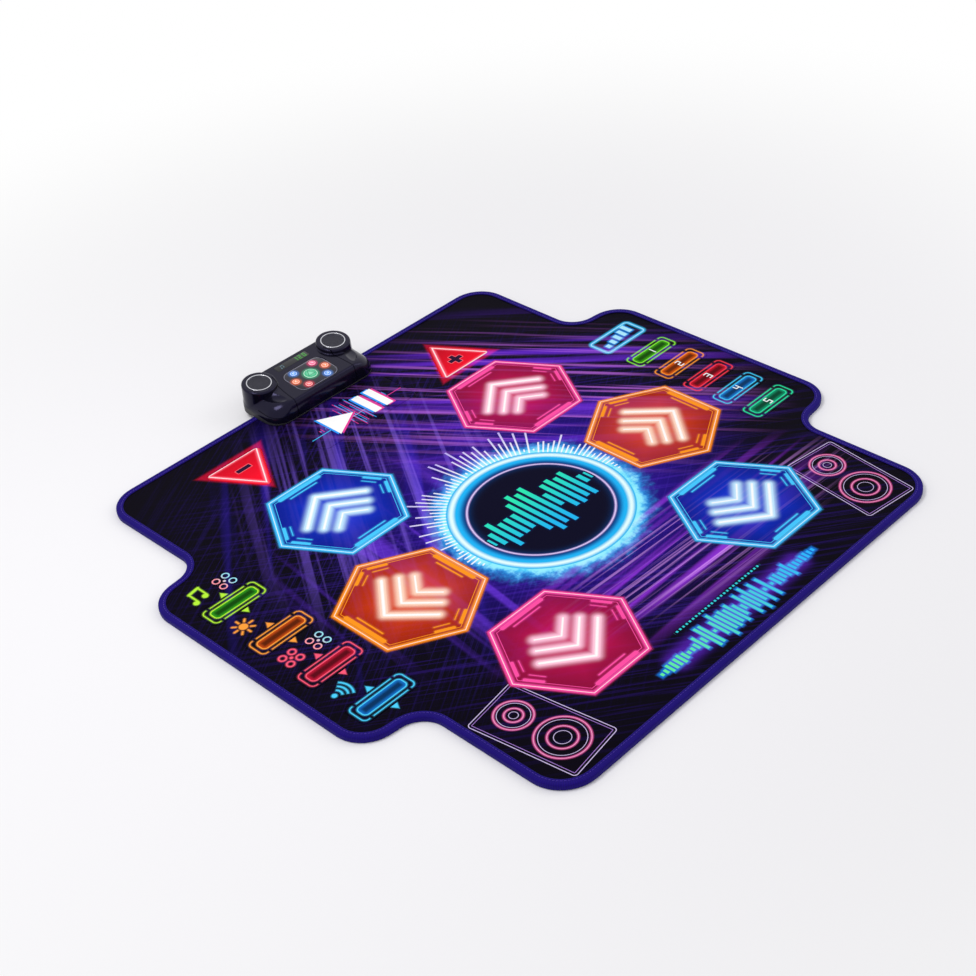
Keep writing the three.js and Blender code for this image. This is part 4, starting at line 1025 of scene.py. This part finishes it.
def plate(name, corners, profile, material=None, steps=8):
    """A plate whose outline is drawn in by the insets of its profile, at their heights."""
    rings = [[(*point, height) for point in rounded(drawn_in(corners, inset), steps)]
             for inset, height in profile]
    return creased(skinned(name, rings, material))


def baked(mesh, *steps):
    """A mesh after modifiers, each given as its kind and settings."""
    holder = new_object("work", mesh)
    for kind, settings in steps:
        modifier = holder.modifiers.new(kind, kind)
        for name, value in settings.items():
            if name.islower():
                setattr(modifier, name, value)
            else:
                modifier[name] = value
    bpy.context.view_layer.update()
    seen = holder.evaluated_get(bpy.context.evaluated_depsgraph_get())
    result = bpy.data.meshes.new_from_object(seen)
    bpy.data.objects.remove(holder)
    return result


def joined(meshes):
    work = bmesh.new()
    for mesh in meshes:
        work.from_mesh(mesh)
    whole = bpy.data.meshes.new("joined")
    work.to_mesh(whole)
    work.free()
    return whole


def combined(base, others, operation="DIFFERENCE"):
    """A mesh cut by others, or united with them."""
    tools = new_object("tools", joined(others))
    result = baked(base, ("BOOLEAN", {"operation": operation, "solver": "EXACT", "object": tools}))
    bpy.data.objects.remove(tools)
    return result


def softened(name, material, radius=0.25):
    """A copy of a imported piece, worked on in metres, with its edges broken by a small radius."""
    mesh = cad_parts[name].data.copy()
    work = bmesh.new()
    work.from_mesh(mesh)
    bmesh.ops.remove_doubles(work, verts=work.verts, dist=MERGED * MM)
    bmesh.ops.dissolve_limit(work, angle_limit=FLAT_EDGE, verts=work.verts, edges=work.edges)
    sharp = [edge for edge in work.edges if edge.is_manifold and edge.calc_face_angle() > SHARP_EDGE]
    bmesh.ops.bevel(work, geom=sharp, offset=radius * MM, segments=2, profile=0.5, affect="EDGES",
                    clamp_overlap=True)
    work.to_mesh(mesh)
    work.free()
    return creased(settled(moved(mesh, Matrix.Scale(1 / MM, 4)), material))


def grown(name, sizes, build, material, base=None):
    """The plain mesh that a geometry tree grows on a base, with its named sizes as inputs."""
    tree = bpy.data.node_groups.new(name, "GeometryNodeTree")
    tree.interface.new_socket("Base", in_out="INPUT", socket_type="NodeSocketGeometry")
    settings = {"node_group": tree}
    for label, value in sizes.items():
        made = tree.interface.new_socket(label, in_out="INPUT", socket_type="NodeSocketFloat")
        settings[made.identifier] = value
    tree.interface.new_socket("Geometry", in_out="OUTPUT", socket_type="NodeSocketGeometry")
    real = node("GeometryNodeRealizeInstances", build(tree.nodes.new("NodeGroupInput").outputs))
    node("NodeGroupOutput", Geometry=node("GeometryNodeSetMaterial", Geometry=real, Material=material))
    return settled(baked(base or bpy.data.meshes.new(name), ("NODES", settings)), material)


# Console form: rounded rings from the seam to the sloping deck
CONSOLE_FRONT, CONSOLE_REAR, CONSOLE_HALF = console_low.y, console_high.y, console_high.x
SEAM_FRONT, DECK_FRONT, DECK_RISE = 11.5, 37.5, 11.3
DECK_SLOPE = math.atan2(DECK_RISE, CONSOLE_REAR - CONSOLE_FRONT)
DECK = Matrix.Translation((0, CONSOLE_FRONT, DECK_FRONT)) @ Matrix.Rotation(DECK_SLOPE, 4, "X")
SEAM_DEPTH = (DECK_FRONT - SEAM_FRONT) * math.cos(DECK_SLOPE)
GRIP_REACH, FRONT_ROLL, REAR_ROLL = 35, 7.5, 4
CORNER, DECK_CORNER = 27, 13
WALL, DECK_WALL = 2.2, 4
TURRET_X, TURRET_Y = 75.5, 459.5
TURRET_RADIUS, TURRET_TOP_RADIUS = 28.5, 27.3
TURRET_RISE, TURRET_EDGE = 7, 2.4
TURRET_BORE = 22.5
GRILLE_RADIUS, RIM_RADIUS = 18, 19.6
TURRET_ALONG = (TURRET_Y - CONSOLE_FRONT + TURRET_RISE * math.sin(DECK_SLOPE)) / math.cos(DECK_SLOPE)
PANEL_ALONG = 36.5 / math.cos(DECK_SLOPE)
WINDOW_ALONG = (CONSOLE_REAR - CONSOLE_FRONT - 16) / math.cos(DECK_SLOPE)
PANEL = rectangle(0, PANEL_ALONG, 80, 56, 15)
WINDOW = rectangle(0, WINDOW_ALONG, 64, 13, 2)
GROOVE_DEPTH, GROOVE_WIDTH = 1, 1.2
GROOVE_INSET, GROOVE_BOW = 44, 8
SIDE_GROOVE_HEIGHT = 8
SCOOP_REACH = Vector((14, 37, 8))
SCOOP_TURN, SCOOP_LEAN = 0.55, 0.3
SCOOP_X, SCOOP_Y, SCOOP_LIFT = 79, 424, 4.4
SWITCH_X, SWITCH_SLOT_FOOT, SWITCH_SLOT_TOP = 66, 24.7, 29.3


def slope_height(y, front):
    """Height at a depth of a plane that is parallel to the deck."""
    return front + (y - CONSOLE_FRONT) * math.tan(DECK_SLOPE)


def at_turret(side, sunk=0):
    return DECK @ Matrix.Translation((side * TURRET_X, TURRET_ALONG, TURRET_RISE - sunk))


def shell_ring(inset, level, drop):
    """A ring of the shell at a level from seam, 0, to deck, 1."""
    draw = 1 - math.cos(level * math.pi / 2)
    front = CONSOLE_FRONT + inset + FRONT_ROLL * draw
    rear = CONSOLE_REAR - inset - REAR_ROLL * draw
    width = 2 * (CONSOLE_HALF - inset - GRIP_REACH * draw)
    radius = CORNER - inset - (CORNER - DECK_CORNER) * draw
    ring = []
    for plan in rounded(rectangle(0, (front + rear) / 2, width, rear - front, radius), 24):
        foot = slope_height(plan.y, SEAM_FRONT)
        top = slope_height(plan.y, DECK_FRONT) - drop
        ring.append(Vector((*plan, foot + (top - foot) * math.sin(level * math.pi / 2))))
    return ring


def shell_form(inset, drop, below, levels=28):
    """The shell's form, drawn in by an inset, its deck lower by drop and its foot by below."""
    rings = [shell_ring(inset, level / levels, drop) for level in range(levels + 1)]
    return skinned("shell", [[point - Vector((0, 0, below)) for point in rings[0]], *rings])


def turret_form(side):
    """A speaker turret: an upright drum whose top is parallel to the deck."""
    top = TURRET_RISE / math.cos(DECK_SLOPE)
    edge = arc((TURRET_TOP_RADIUS - TURRET_EDGE, top - TURRET_EDGE), (TURRET_EDGE, TURRET_EDGE), 0, 90, 6)
    foot = SEAM_FRONT - DECK_FRONT - 3
    drum = turned("turret", [(0, foot), (TURRET_RADIUS, foot), *edge, (0, top)], steps=96)
    moved(drum, side * TURRET_X, TURRET_Y, 0)
    for vert in drum.vertices:
        vert.co.z += slope_height(vert.co.y, DECK_FRONT)
    return drum


def scoop_form(side):
    """A boat-shaped cutter for the hollow in a grip's shoulder, pointed at both ends."""
    boat = turned("scoop", arc((0, 0), (1, 1), -90, 90, 32), steps=64)
    for vert in boat.vertices:
        vert.co.x *= math.sqrt(max(0, 1 - vert.co.y ** 2))
        vert.co = vert.co * SCOOP_REACH
    moved(boat, Matrix.Rotation(-side * SCOOP_TURN, 4, "Z") @ Matrix.Rotation(side * SCOOP_LEAN, 4, "Y"))
    height = slope_height(SCOOP_Y, DECK_FRONT) + SCOOP_LIFT
    return settled(moved(boat, side * SCOOP_X, SCOOP_Y, height), None)


def groove_cutters():
    """The grooves between deck and grips, and those along the grips' sides, equally deep all along."""
    core = shell_form(GROOVE_DEPTH, GROOVE_DEPTH, WALL)
    low, high, half = SEAM_FRONT + 1, DECK_FRONT + 20, GROOVE_WIDTH / 2
    deck_strips, side_strips = [], []
    for side in ENDS.values():
        rings = []
        for step in range(25):
            share = (step - 1) / 24
            x = side * (CONSOLE_HALF - GROOVE_INSET - GROOVE_BOW * max(0, share) ** 2)
            y = CONSOLE_FRONT + (TURRET_Y - CONSOLE_FRONT) * share
            rings.append([(x - half, y, low), (x + half, y, low), (x + half, y, high), (x - half, y, high)])
        deck_strips.append(skinned("groove", rings))
        foot = SIDE_GROOVE_HEIGHT - SEAM_DEPTH
        outline = rectangle(side * 72.5, 20.5, 65, 43, 0.1)
        bar = plate("groove", outline, [(0, foot), (0, foot + GROOVE_WIDTH)])
        side_strips.append(moved(bar, DECK))
    return [[combined(joined(strips), [core])] for strips in (deck_strips, side_strips)]


def recess(outline, depth, ledge):
    """A cutter for a seat in the deck and the opening inside its ledge."""
    floor = -depth - SEAM_GAP
    profile = [(ledge + SEAM_GAP, -8), (ledge + SEAM_GAP, floor), (0, floor), (0, 2)]
    return moved(plate("recess", drawn_in(outline, -SEAM_GAP), profile), DECK)


def upper_shell():
    """The upper housing: its outer form is united and softened as a whole, and is then hollowed
    and given its scoops, grooves and recesses, whose edges stay crisp."""
    turrets = [turret_form(side) for side in ENDS.values()]
    skin = baked(combined(shell_form(0, 0, 3), turrets, "UNION"),
                 ("REMESH", {"mode": "VOXEL", "voxel_size": 0.85}),
                 ("SMOOTH", {"factor": 0.5, "iterations": 5}))
    seat, mouth, ledge = RIM_RADIUS + SEAM_GAP, GRILLE_RADIUS - 2, -2.7
    bore = [(0, -50), (TURRET_BORE, -50), (TURRET_BORE, ledge - 2), (mouth, ledge - 2), (mouth, ledge),
            (seat, ledge), (seat, 6), (0, 6)]
    under = plate("under", rectangle(0, 48, 260, 160, 1), [(0, -60), (0, 0)])
    slot = plate("slot", rectangle(SWITCH_X, CONSOLE_REAR, 11.6, 14, 0.5),
                 [(0, SWITCH_SLOT_FOOT), (0, SWITCH_SLOT_TOP)])
    for cutters in (
        [combined(joined([scoop_form(side) for side in ENDS.values()]), turrets)],
        *groove_cutters(),
        [shell_form(WALL, DECK_WALL, 6, levels=10)],
        [moved(turned("bore", bore, steps=64), at_turret(side)) for side in ENDS.values()],
        [recess(PANEL, 2, 2.5), recess(WINDOW, 1.6, 1.5), slot],
        [moved(under, DECK @ Matrix.Translation((0, 0, -SEAM_DEPTH)))],
    ):
        skin = combined(skin, cutters)
    return creased(settled(skin, GLOSS_ABS), CUT_CREASE)


# Lower housing: a shallow tray whose rim follows the sloping seam, and a foot with the battery
# bay, which stands on the floor behind the mat
TRAY_FOOT = binding_top - 0.5
TRAY_ROLL = 1
TRAY_FLOOR = 11.1
FOOT_FLOOR = 2.4
BAY_FRONT, BAY_REAR, BAY_WIDTH, BAY_ROOF = 453.4, 483, 111.6, 19.2
BAY_WALL = 2
DOOR_GROOVE_FOOT, DOOR_GROOVE_TOP = 0.6, 1.9
PAST_REAR = CONSOLE_REAR + 1
CLAMP_Y = 420
CLAMP_SCREWS_X = (-46, 46)


def box(width, low, high, radius=1):
    """A box over the middle, between two corners given as depth and height."""
    outline = rectangle(0, (low[0] + high[0]) / 2, width, high[0] - low[0], radius)
    return plate("box", outline, [(0, low[1]), (0, high[1])], steps=4)


def lower_shell():
    """The lower housing, open inside, with the ways for cells, door, binding, tail and screws."""
    middle, depth = (CONSOLE_FRONT + CONSOLE_REAR) / 2, CONSOLE_REAR - CONSOLE_FRONT
    plan = rectangle(0, middle, 2 * CONSOLE_HALF, depth, CORNER)
    rings = [[(*point, TRAY_FOOT + rise) for point in rounded(drawn_in(plan, inset), 24)]
             for inset, rise in arc((TRAY_ROLL, TRAY_ROLL), (-TRAY_ROLL, -TRAY_ROLL), 90, 0, 6)]
    rings.append([(*point, slope_height(point.y, SEAM_FRONT - SEAM_GAP)) for point in rounded(plan, 24)])
    foot = plate("foot", rectangle(0, 469.2, 154, 35.6, 3), [(1, 0), (0.3, 0.3), (0, 1), (0, 10.7)])
    hollow = plate("hollow", drawn_in(plan, WALL), [(0, TRAY_FLOOR), (0, 40)], steps=24)
    bay_front, past_bay = BAY_FRONT - BAY_WALL, BAY_REAR + BAY_WALL
    way = turned("way", [(0, 0), (2.3, 0), (2.3, 14), (0, 14)], steps=32)
    shell = skinned("tray", rings)
    for forms, operation in (
        ([foot], "UNION"),
        ([hollow], "DIFFERENCE"),
        ([box(150, (BAY_FRONT, FOOT_FLOOR), (past_bay, 12))], "DIFFERENCE"),
        ([box(BAY_WIDTH + 2 * BAY_WALL, (bay_front, 0.2), (past_bay, BAY_ROOF))], "UNION"),
        ([box(BAY_WIDTH, (BAY_FRONT, -1), (BAY_REAR, BAY_ROOF - BAY_WALL), 0.5)], "DIFFERENCE"),
        ([box(BAY_WIDTH + 2, (BAY_FRONT, -1), (PAST_REAR, FOOT_FLOOR), 0.3)], "DIFFERENCE"),
        ([box(BAY_WIDTH + 5.6, (BAY_FRONT, DOOR_GROOVE_FOOT), (PAST_REAR, DOOR_GROOVE_TOP), 0.3)],
         "DIFFERENCE"),
        ([box(220, (438.1, 0), (bay_front, binding_top + 0.3), 0.1),
          box(30.6, (407.55, 0), (408.45, 14), 0.1),
          *(moved(way.copy(), x, CLAMP_Y, 0) for x in CLAMP_SCREWS_X)], "DIFFERENCE"),
    ):
        shell = combined(shell, forms, operation)
    return creased(settled(shell, TEXTURED_ABS), CUT_CREASE)


# Lights of the panel: place beside and along, radius, colour and slot
LIGHTS = {
    "centre_light": ((0, 0), 11, 0x16B07A, "light_green"),
    "light_rear_left": ((-19, 18), 5.6, 0x3A8BF0, "light_blue"),
    "light_rear_right": ((19, 18), 5.6, 0xF0307A, "light_pink"),
    "light_left": ((-29.5, 0), 5.6, 0xFF6A14, "light_orange"),
    "light_right": ((29.5, 0), 5.6, 0xFF6A14, "light_orange"),
    "light_front_left": ((-19, -18), 5.6, 0xE81C34, "light_red"),
    "light_front_right": ((19, -18), 5.6, 0x3A8BF0, "light_blue"),
}
# Numerals of the display by their place beside the middle
DIGITS = {8: 1, 16.5: 2, 25: 0}
DIGIT_SIZE, DIGIT_STROKE = 1.9, 0.95


def new_deck_material(name, along):
    """A material, and a point of the deck as seen from a place along it, in millimetres to the
    right and up the slope."""
    material, spot = new_material(name)
    local = node("ShaderNodeMapping", vector_type="TEXTURE", Vector=spot, Rotation=(DECK_SLOPE, 0, 0),
                 Location=Vector((0, CONSOLE_FRONT, DECK_FRONT)) * MM)
    return material, seen_from(node(VECTOR_MULTIPLY, local, (1 / MM, 1 / MM, 0)), (0, along))


def light_glass(name):
    """Tinted translucent acrylic over a lit diode, whose glow is painted in and emitted: brightest in the
    middle, deeper at the rim, with a pale rim line and a faint arrow moulded under it."""
    (x, y), radius, tint, _ = LIGHTS[name]
    material, point = new_deck_material(f"{name}_tinted_acrylic", PANEL_ALONG)
    local = seen_from(point, (x, y))
    # Painted glow of the diode: the colour runs from a pale middle to a deeper rim
    share = node(SMOOTH, from_disc(local), 0.0, radius, 0.0, 1.0)
    body = node(MIX, share, mixed(tint, WHITE, 0.18), mixed(tint, BLACK, 0.25))
    if name == "centre_light":
        tick = from_edge(from_polygon(local, radius * 0.34, 3, -90), 0.5)
        body = ink(body, tick, mixed(tint, BLACK, 0.55), blur=0.2)
    else:
        half = mirrored(seen_from(local, (0, 0), math.degrees(math.atan2(-x, y))))
        mark = from_stroke(half, (0, radius * 0.3), (radius * 0.42, -radius * 0.12), 0.9)
        body = ink(body, mark, mixed(tint, WHITE, 0.6), blur=0.2)
    rim = from_edge(from_disc(local, radius - 0.7), 0.42)
    body = ink(body, rim, mixed(tint, WHITE, 0.5), blur=0.25)
    # The lens emits its own painted colour as a glow
    return surface(material, Base_Color=body, Roughness=0.12, IOR=1.49, Emission_Color=body,
                   Emission_Strength=0.4)


def panel_print():
    """Smoked acrylic, printed black from behind: a mirror-smooth dark face with a thin pale line near its
    edge, a painted highlight of its bevel, and a painted glow of each light round its opening."""
    material, point = new_deck_material("smoked_acrylic_panel", PANEL_ALONG)
    under = node(MIX, node(NOISE, point, Scale=0.05, Detail=2.0), 0x07060F, 0x140E2E)
    # Painted glow: each light's colour is laid on the panel round its opening
    for place, radius, colour, _ in LIGHTS.values():
        under = glow(under, from_disc(point, radius, place), colour, 7, 0.7)
    # A thin pale line near the edge: a painted highlight of the panel's bevel
    under = ink(under, from_edge(from_bar(point, 76, 52, 13), 0.28), 0x8E8CA6, blur=0.15)
    return surface(material, Base_Color=under, Roughness=0.07, IOR=1.49)


def window_print():
    """Smoked acrylic over a lit digit display: three green numerals and a note sign glow through, with a
    painted green halo round the numerals.
    """
    material, point = new_deck_material("smoked_acrylic_window", WINDOW_ALONG)
    digits = [from_numeral(point, number, DIGIT_SIZE, DIGIT_STROKE, x) for x, number in DIGITS.items()]
    ghosts = [from_numeral(point, 8, DIGIT_SIZE, DIGIT_STROKE, x) for x in DIGITS]
    under = ink(0x080A10, nearest(ghosts), 0x0E1A12, blur=0.12)
    bright = nearest(digits)
    # Painted halo of green light round the lit numerals
    under = ink(glow(under, bright, 0x14580E, 2.2), bright, 0x258A1A, blur=0.15)
    under = ink(under, note_icon(seen_from(point, (-20, -0.4), 0, (0.26, 0.26))), 0x4A6A78, blur=0.5)
    return surface(material, Base_Color=under, Roughness=0.09, IOR=1.49, Emission_Color=under,
                   Emission_Strength=0.35)


def make_panel():
    gap, flange, foot = 0.3, 1.2, -2.3
    places = {name: DECK @ Matrix.Translation((x, PANEL_ALONG + y, 0))
              for name, ((x, y), *_) in LIGHTS.items()}
    holes = [moved(turned("hole", [(0, -5), (radius + gap, -5), (radius + gap, 5), (0, 5)]), places[name])
             for name, (_, radius, _, _) in LIGHTS.items()]
    face = moved(plate("light_panel", PANEL, [(0, -2), (0, -0.45), (0.13, -0.13), (0.45, 0)]), DECK)
    face = creased(settled(combined(face, holes), panel_print()))
    piece("moulded_light_panel", face, "mat", "smoked_panel", "light_panel")
    glass = plate("window", WINDOW, [(0, -1.6), (0, -0.35), (0.1, -0.1), (0.35, 0)], window_print())
    piece("display_glass", moved(glass, DECK), "mat", "smoked_panel", "display_window")
    for name, (_, radius, _, slot) in LIGHTS.items():
        profile = [(0, foot - flange), (radius + flange, foot - flange), (radius + flange, foot),
                   (radius, foot), *arc((0, 0.1), (radius, 0.9), 0, 90, 8)]
        lens = turned(name, profile, light_glass(name))
        piece(f"lens_{name}", moved(lens, places[name]), "mat", slot, name)


GRILLE_SIZES = {"Radius": 18.6, "Hole Radius": 0.62, "Pitch": 1.85, "Hole Field": 17.6, "Thickness": 0.5}
GRILLE_ROWS = 24


def punched_disc(size):
    """A round sheet with round holes in a triangular pattern."""
    row_gap = node(MULTIPLY, size["Pitch"], math.sqrt(3))
    wide = node(MULTIPLY, size["Pitch"], GRILLE_ROWS - 1)
    deep = node(MULTIPLY, row_gap, GRILLE_ROWS // 2 + 1)
    grid = node("GeometryNodeMeshGrid", wide, deep, GRILLE_ROWS, GRILLE_ROWS // 2 + 2)
    shift = node(COMBINE, node(MULTIPLY, size["Pitch"], 0.5), node(MULTIPLY, row_gap, 0.5), 0.0)
    both = node(JOIN, [grid, node("GeometryNodeTransform", Geometry=grid, Translation=shift)])
    spots = node("GeometryNodeMeshToPoints", both)
    away = node(LENGTH, node("GeometryNodeInputPosition", tree=grid.id_data))
    far = node("FunctionNodeCompare", operation="GREATER_THAN", A=away, B=size["Hole Field"])
    kept = node("GeometryNodeDeleteGeometry", spots, far, domain="POINT")
    hole = node("GeometryNodeCurvePrimitiveCircle", Resolution=8, Radius=size["Hole Radius"])
    edge = node("GeometryNodeCurvePrimitiveCircle", Resolution=72, Radius=size["Radius"])
    holes = node("GeometryNodeRealizeInstances", node(INSTANCES, Points=kept, Instance=hole))
    sheet = node("GeometryNodeFillCurve", node(JOIN, [edge, holes]), mode="TRIANGLES")
    up = node(COMBINE, 0.0, 0.0, size["Thickness"])
    raised = node("GeometryNodeExtrudeMesh", mode="FACES", Mesh=sheet, Offset=up, Individual=False)
    return node(JOIN, [raised, node("GeometryNodeFlipFaces", sheet)])


def make_grilles():
    """A punched sheet in a bright rim over each speaker."""
    foot, rise, edge = -2.4, 0.5, 0.4
    middle, half = (RIM_RADIUS + GRILLE_RADIUS) / 2, (RIM_RADIUS - GRILLE_RADIUS) / 2
    rim = [(GRILLE_RADIUS, foot), (RIM_RADIUS, foot), *arc((middle, rise - edge), (half, edge), 0, 180, 9)]
    for label, side in ENDS.items():
        mesh = grown("grille_mesh", GRILLE_SIZES, punched_disc, MESH_STEEL)
        piece(f"grille_mesh_{label}", creased(moved(mesh, at_turret(side, 2.3))), "mat", "grille",
              f"speaker_grille_{label}")
        ring = moved(turned("rim", rim, CHROME, 96), at_turret(side))
        piece(f"grille_rim_{label}", ring, "mat", "grille")


def make_speakers():
    """A steel basket below each grille, with a paper cone, its rolled surround and its dome."""
    basket = [(0, -15), (9.6, -15), (10, -14.6), (10, -10), (16, -2), (17.7, -2), (18, -1.7), (18, -0.2),
              (17.8, 0), (16.4, 0), (5.5, -5.6), (0, -5.6)]
    cone = [(0, -5.4), (5, -5.4), (16.2, -0.2), *arc((15, 0.1), (1.2, 0.8), 0, 180, 6), (6, -4.2),
            *arc((0, -4.2), (5.6, 2.4), 0, 90, 6)]
    for label, side in ENDS.items():
        for part, profile, material, *replaced in (("frame", basket, BASKET_STEEL, f"speaker_{label}"),
                                                   ("cone", cone, PAPER)):
            mesh = moved(turned(part, profile, material, 64), at_turret(side, 5))
            piece(f"speaker_{part}_{label}", mesh, "mat", "speaker", *replaced)


def make_battery_bay():
    """The cells, whose positive ends lie left on one half and right on the other, and the small
    pressed and moulded pieces."""
    sleeve = cell_sleeve()
    radius, half, nub = 7.1, 24.6, 2.7
    profile = [(0, -half), (4.6, -half), (4.9, 0.3 - half), (6.5, 0.3 - half), (radius - 0.18, 0.45 - half),
               (radius, 0.9 - half), (radius, half - 0.9), (radius - 0.18, half - 0.45), (6.5, half - 0.3),
               (nub, half - 0.3), (nub, half + 1.1), (nub - 0.3, half + 1.3), (0, half + 1.3)]
    for number in range(1, 5):
        name = f"battery_cell_{number}"
        low, high = box_of(name)
        turned_over = -1 if number > 2 else 1
        middle = (low + high) / 2 - Vector((turned_over * 0.65, 0, 0))
        lie = Matrix.Translation(middle) @ Matrix.Rotation(turned_over * math.pi / 2, 4, "Y")
        cell = moved(turned("cell", profile, sleeve), lie)
        piece(f"sleeved_cell_{number}", cell, "mat", "cell_cover", name)
    for made, name, body, slot, material, radius in (
        ("pressed", "contact_bridge", "mat", "contact_steel", CONTACT_STEEL, 0.15),
        ("pressed", "terminal_board", "mat", "contact_steel", CONTACT_STEEL, 0.15),
        ("moulded", "battery_door", "battery_door", "housing_matt", TEXTURED_ABS, 0.2),
        ("moulded", "power_switch", "power_switch", "switch_cap", SWITCH_ABS, 0.25),
        ("moulded", "clamp_plate", "mat", "housing_matt", TEXTURED_ABS, 0.3),
    ):
        piece(f"{made}_{name}", softened(name, material, radius), body, slot, name)


def make_screws():
    """The clamp screws: pan heads with a cross recess, below the clamp plate."""
    head = [(0, 0), (2.6, 0), (3.5, 0.2), (4, 0.8), (4, 1.5), (2, 1.5), (2, 25), (1, 27), (0, 27)]
    arm, reach = 0.42, 2
    quarter = [Vector((arm, -reach)), Vector((arm, -arm)), Vector((reach, -arm))]
    cross = [(Matrix.Rotation(turn * math.pi / 2, 2) @ spot, 0.05) for turn in range(4) for spot in quarter]
    for label in ENDS:
        name = f"clamp_screw_{label}"
        drive = plate("cross", cross, [(0, -1), (0, 0), (0.2, 1.1)], steps=1)
        mesh = creased(settled(combined(turned("screw", head, ZINC_STEEL, 40), [drive]), ZINC_STEEL))
        mesh = moved(mesh, *middle_of(name), box_of(name)[0].z)
        piece(f"cross_head_screw_{label}", mesh, "mat", "contact_steel", name)


def make_console():
    piece("moulded_upper_housing", upper_shell(), "mat", "housing_gloss", "upper_housing")
    piece("moulded_lower_housing", lower_shell(), "mat", "housing_matt", "lower_housing")
    make_panel()
    make_grilles()
    make_speakers()
    make_battery_bay()
    make_screws()


def dress_hidden_pieces():
    """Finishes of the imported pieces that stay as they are, hidden inside."""
    finishes = {
        cellular("closed_cell_eva_foam", 0xE2E0DA, 0.7): ["cushion_foam", "spacer_sheet"],
        circuit_film(): ["lower_contact_film", "upper_contact_film"],
        board_laminate(): ["circuit_board"],
        RESIN: ["digit_display"],
    }
    for material, names in finishes.items():
        for name in names:
            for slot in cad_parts[name].material_slots:
                slot.material = material


# The bound edge and the backing. The tape's folded section: inset from the edge, and height
TAPE_PROFILE = [(10.5, 8.45), (10.55, 8.85), (10.2, 9.12), (9.3, 9.2), (8, 9.2), (7.5, 9.02), (7, 9.2),
                (4, 9.2), (1.9, 9.15), (0.8, 8.75), (0.2, 7.9), (0, 6.6), (0, 2.4), (0.25, 1), (0.9, 0.2),
                (2, 0), (6.8, 0), (7.5, 0.4), (8.2, 0), (10.5, 0), (10.5, 1.15), (1.9, 1.2), (1, 2.2),
                (1, 7.2), (1.9, 8.4)]
TAPE_STEP = 4.5
PUCKER = 0.06
STITCH_INSET = 7.5
SEWN_STEPS = 12
LOWER_FACE = 0.33
STITCH_SIZES = {"Pitch": 4.6, "Stitch Length": 3.6, "Thread Radius": 0.3}
DOT_SIZES = {"Dot Radius": 2.1, "Dot Height": 0.3}
DOT_PITCH = 15
CLAMP_POCKET = rectangle(0, CLAMP_Y, 122.6, 26.6, 5.3)


def lock_stitches(size):
    """Stitches end to end along a line, each a short plump thread with a gap before the next."""
    line = node("GeometryNodeSetCurveNormal", node("GeometryNodeMeshToCurve", size["Base"]), mode="Z_UP")
    spots = node("GeometryNodeCurveToPoints", mode="LENGTH", Curve=line, Length=size["Pitch"])
    ball = node("GeometryNodeMeshUVSphere", 6, 4, 1.0, tree=line.id_data)
    half = node(MULTIPLY, size["Stitch Length"], 0.5)
    scale = node(COMBINE, size["Thread Radius"], size["Thread Radius"], half)
    stitch = node("GeometryNodeTransform", Geometry=ball, Scale=scale)
    return node(INSTANCES, Points=spots, Instance=stitch, Rotation=spots.node.outputs["Rotation"])


def low_domes(size):
    """Low domes, one on every point of the base."""
    ball = node("GeometryNodeMeshUVSphere", 8, 4, 1.0, tree=size["Base"].id_data)
    scale = node(COMBINE, size["Dot Radius"], size["Dot Radius"], size["Dot Height"])
    dome = node("GeometryNodeTransform", Geometry=ball, Scale=scale)
    return node(INSTANCES, Points=size["Base"], Instance=dome)


def make_binding():
    """The tape, puckered where it is sewn, and its two rows of stitches."""
    line = spaced(rounded(OUTLINE, SEWN_STEPS), TAPE_STEP)
    rings = []
    for i, point in enumerate(line):
        run = (line[(i + 1) % len(line)] - line[i - 1]).normalized()
        inward = Vector((-run.y, run.x))
        pucker = PUCKER * math.sin(point.x / 6.1 + point.y / 5.3)
        rings.append([(*(point + inward * inset), height + (pucker if height > 8.9 and inset > 1 else 0))
                      for inset, height in TAPE_PROFILE])
    folded = skinned("binding", rings, tape_cloth(), closed=True)
    tape = piece("sewn_binding_tape", folded, "mat", "binding_tape", "edge_binding")
    for label, height in (("upper", binding_top), ("lower", LOWER_FACE)):
        seam = [(*point, height) for point in rounded(drawn_in(OUTLINE, STITCH_INSET), SEWN_STEPS)]
        path = bpy.data.meshes.new("seam")
        path.from_pydata(seam, [(i, (i + 1) % len(seam)) for i in range(len(seam))], [])
        threads = grown("stitches", STITCH_SIZES, lock_stitches, THREAD, path)
        piece(f"{label}_stitches", threads, "mat", "binding_tape")


def make_dots():
    """Grip dots in a triangular grid under the backing, clear of its edge and of the clamp's pocket."""
    xs = np.arange(-490, 490, DOT_PITCH)
    ys = np.arange(-450, 450, DOT_PITCH * math.sqrt(3) / 2)
    spots = np.stack(np.meshgrid(xs, ys), axis=-1).astype(float)
    spots[1::2, :, 0] += DOT_PITCH / 2
    spots = spots.reshape(-1, 2)
    clear_of_clamp = rectangle(0, CLAMP_Y, 132, 36, 8)
    free = between(spots, [drawn_in(OUTLINE, 16), clear_of_clamp])
    base = bpy.data.meshes.new("dot_places")
    base.from_pydata([(x, y, LOWER_FACE) for x, y in spots[free]], [], [])
    return piece("grip_dots", grown("grip_dots", DOT_SIZES, low_domes, GRIP_RUBBER, base), "mat", "backing")


def make_backing():
    inner = drawn_in(OUTLINE, BINDING_WIDTH + SEAM_GAP)
    mesh = patch("backing", [inner, CLAMP_POCKET], 0.3, lambda x, y: backing_top, COATED_CLOTH,
                 step=40, sink=0)
    sheet = piece("laid_backing", mesh, "mat", "backing", "backing_sheet")
    make_dots()


bpy.context.scene.view_settings.view_transform = "Standard"
make_camera()
make_lights()
make_floor()
make_mat()
make_binding()
make_backing()
make_console()
dress_hidden_pieces()
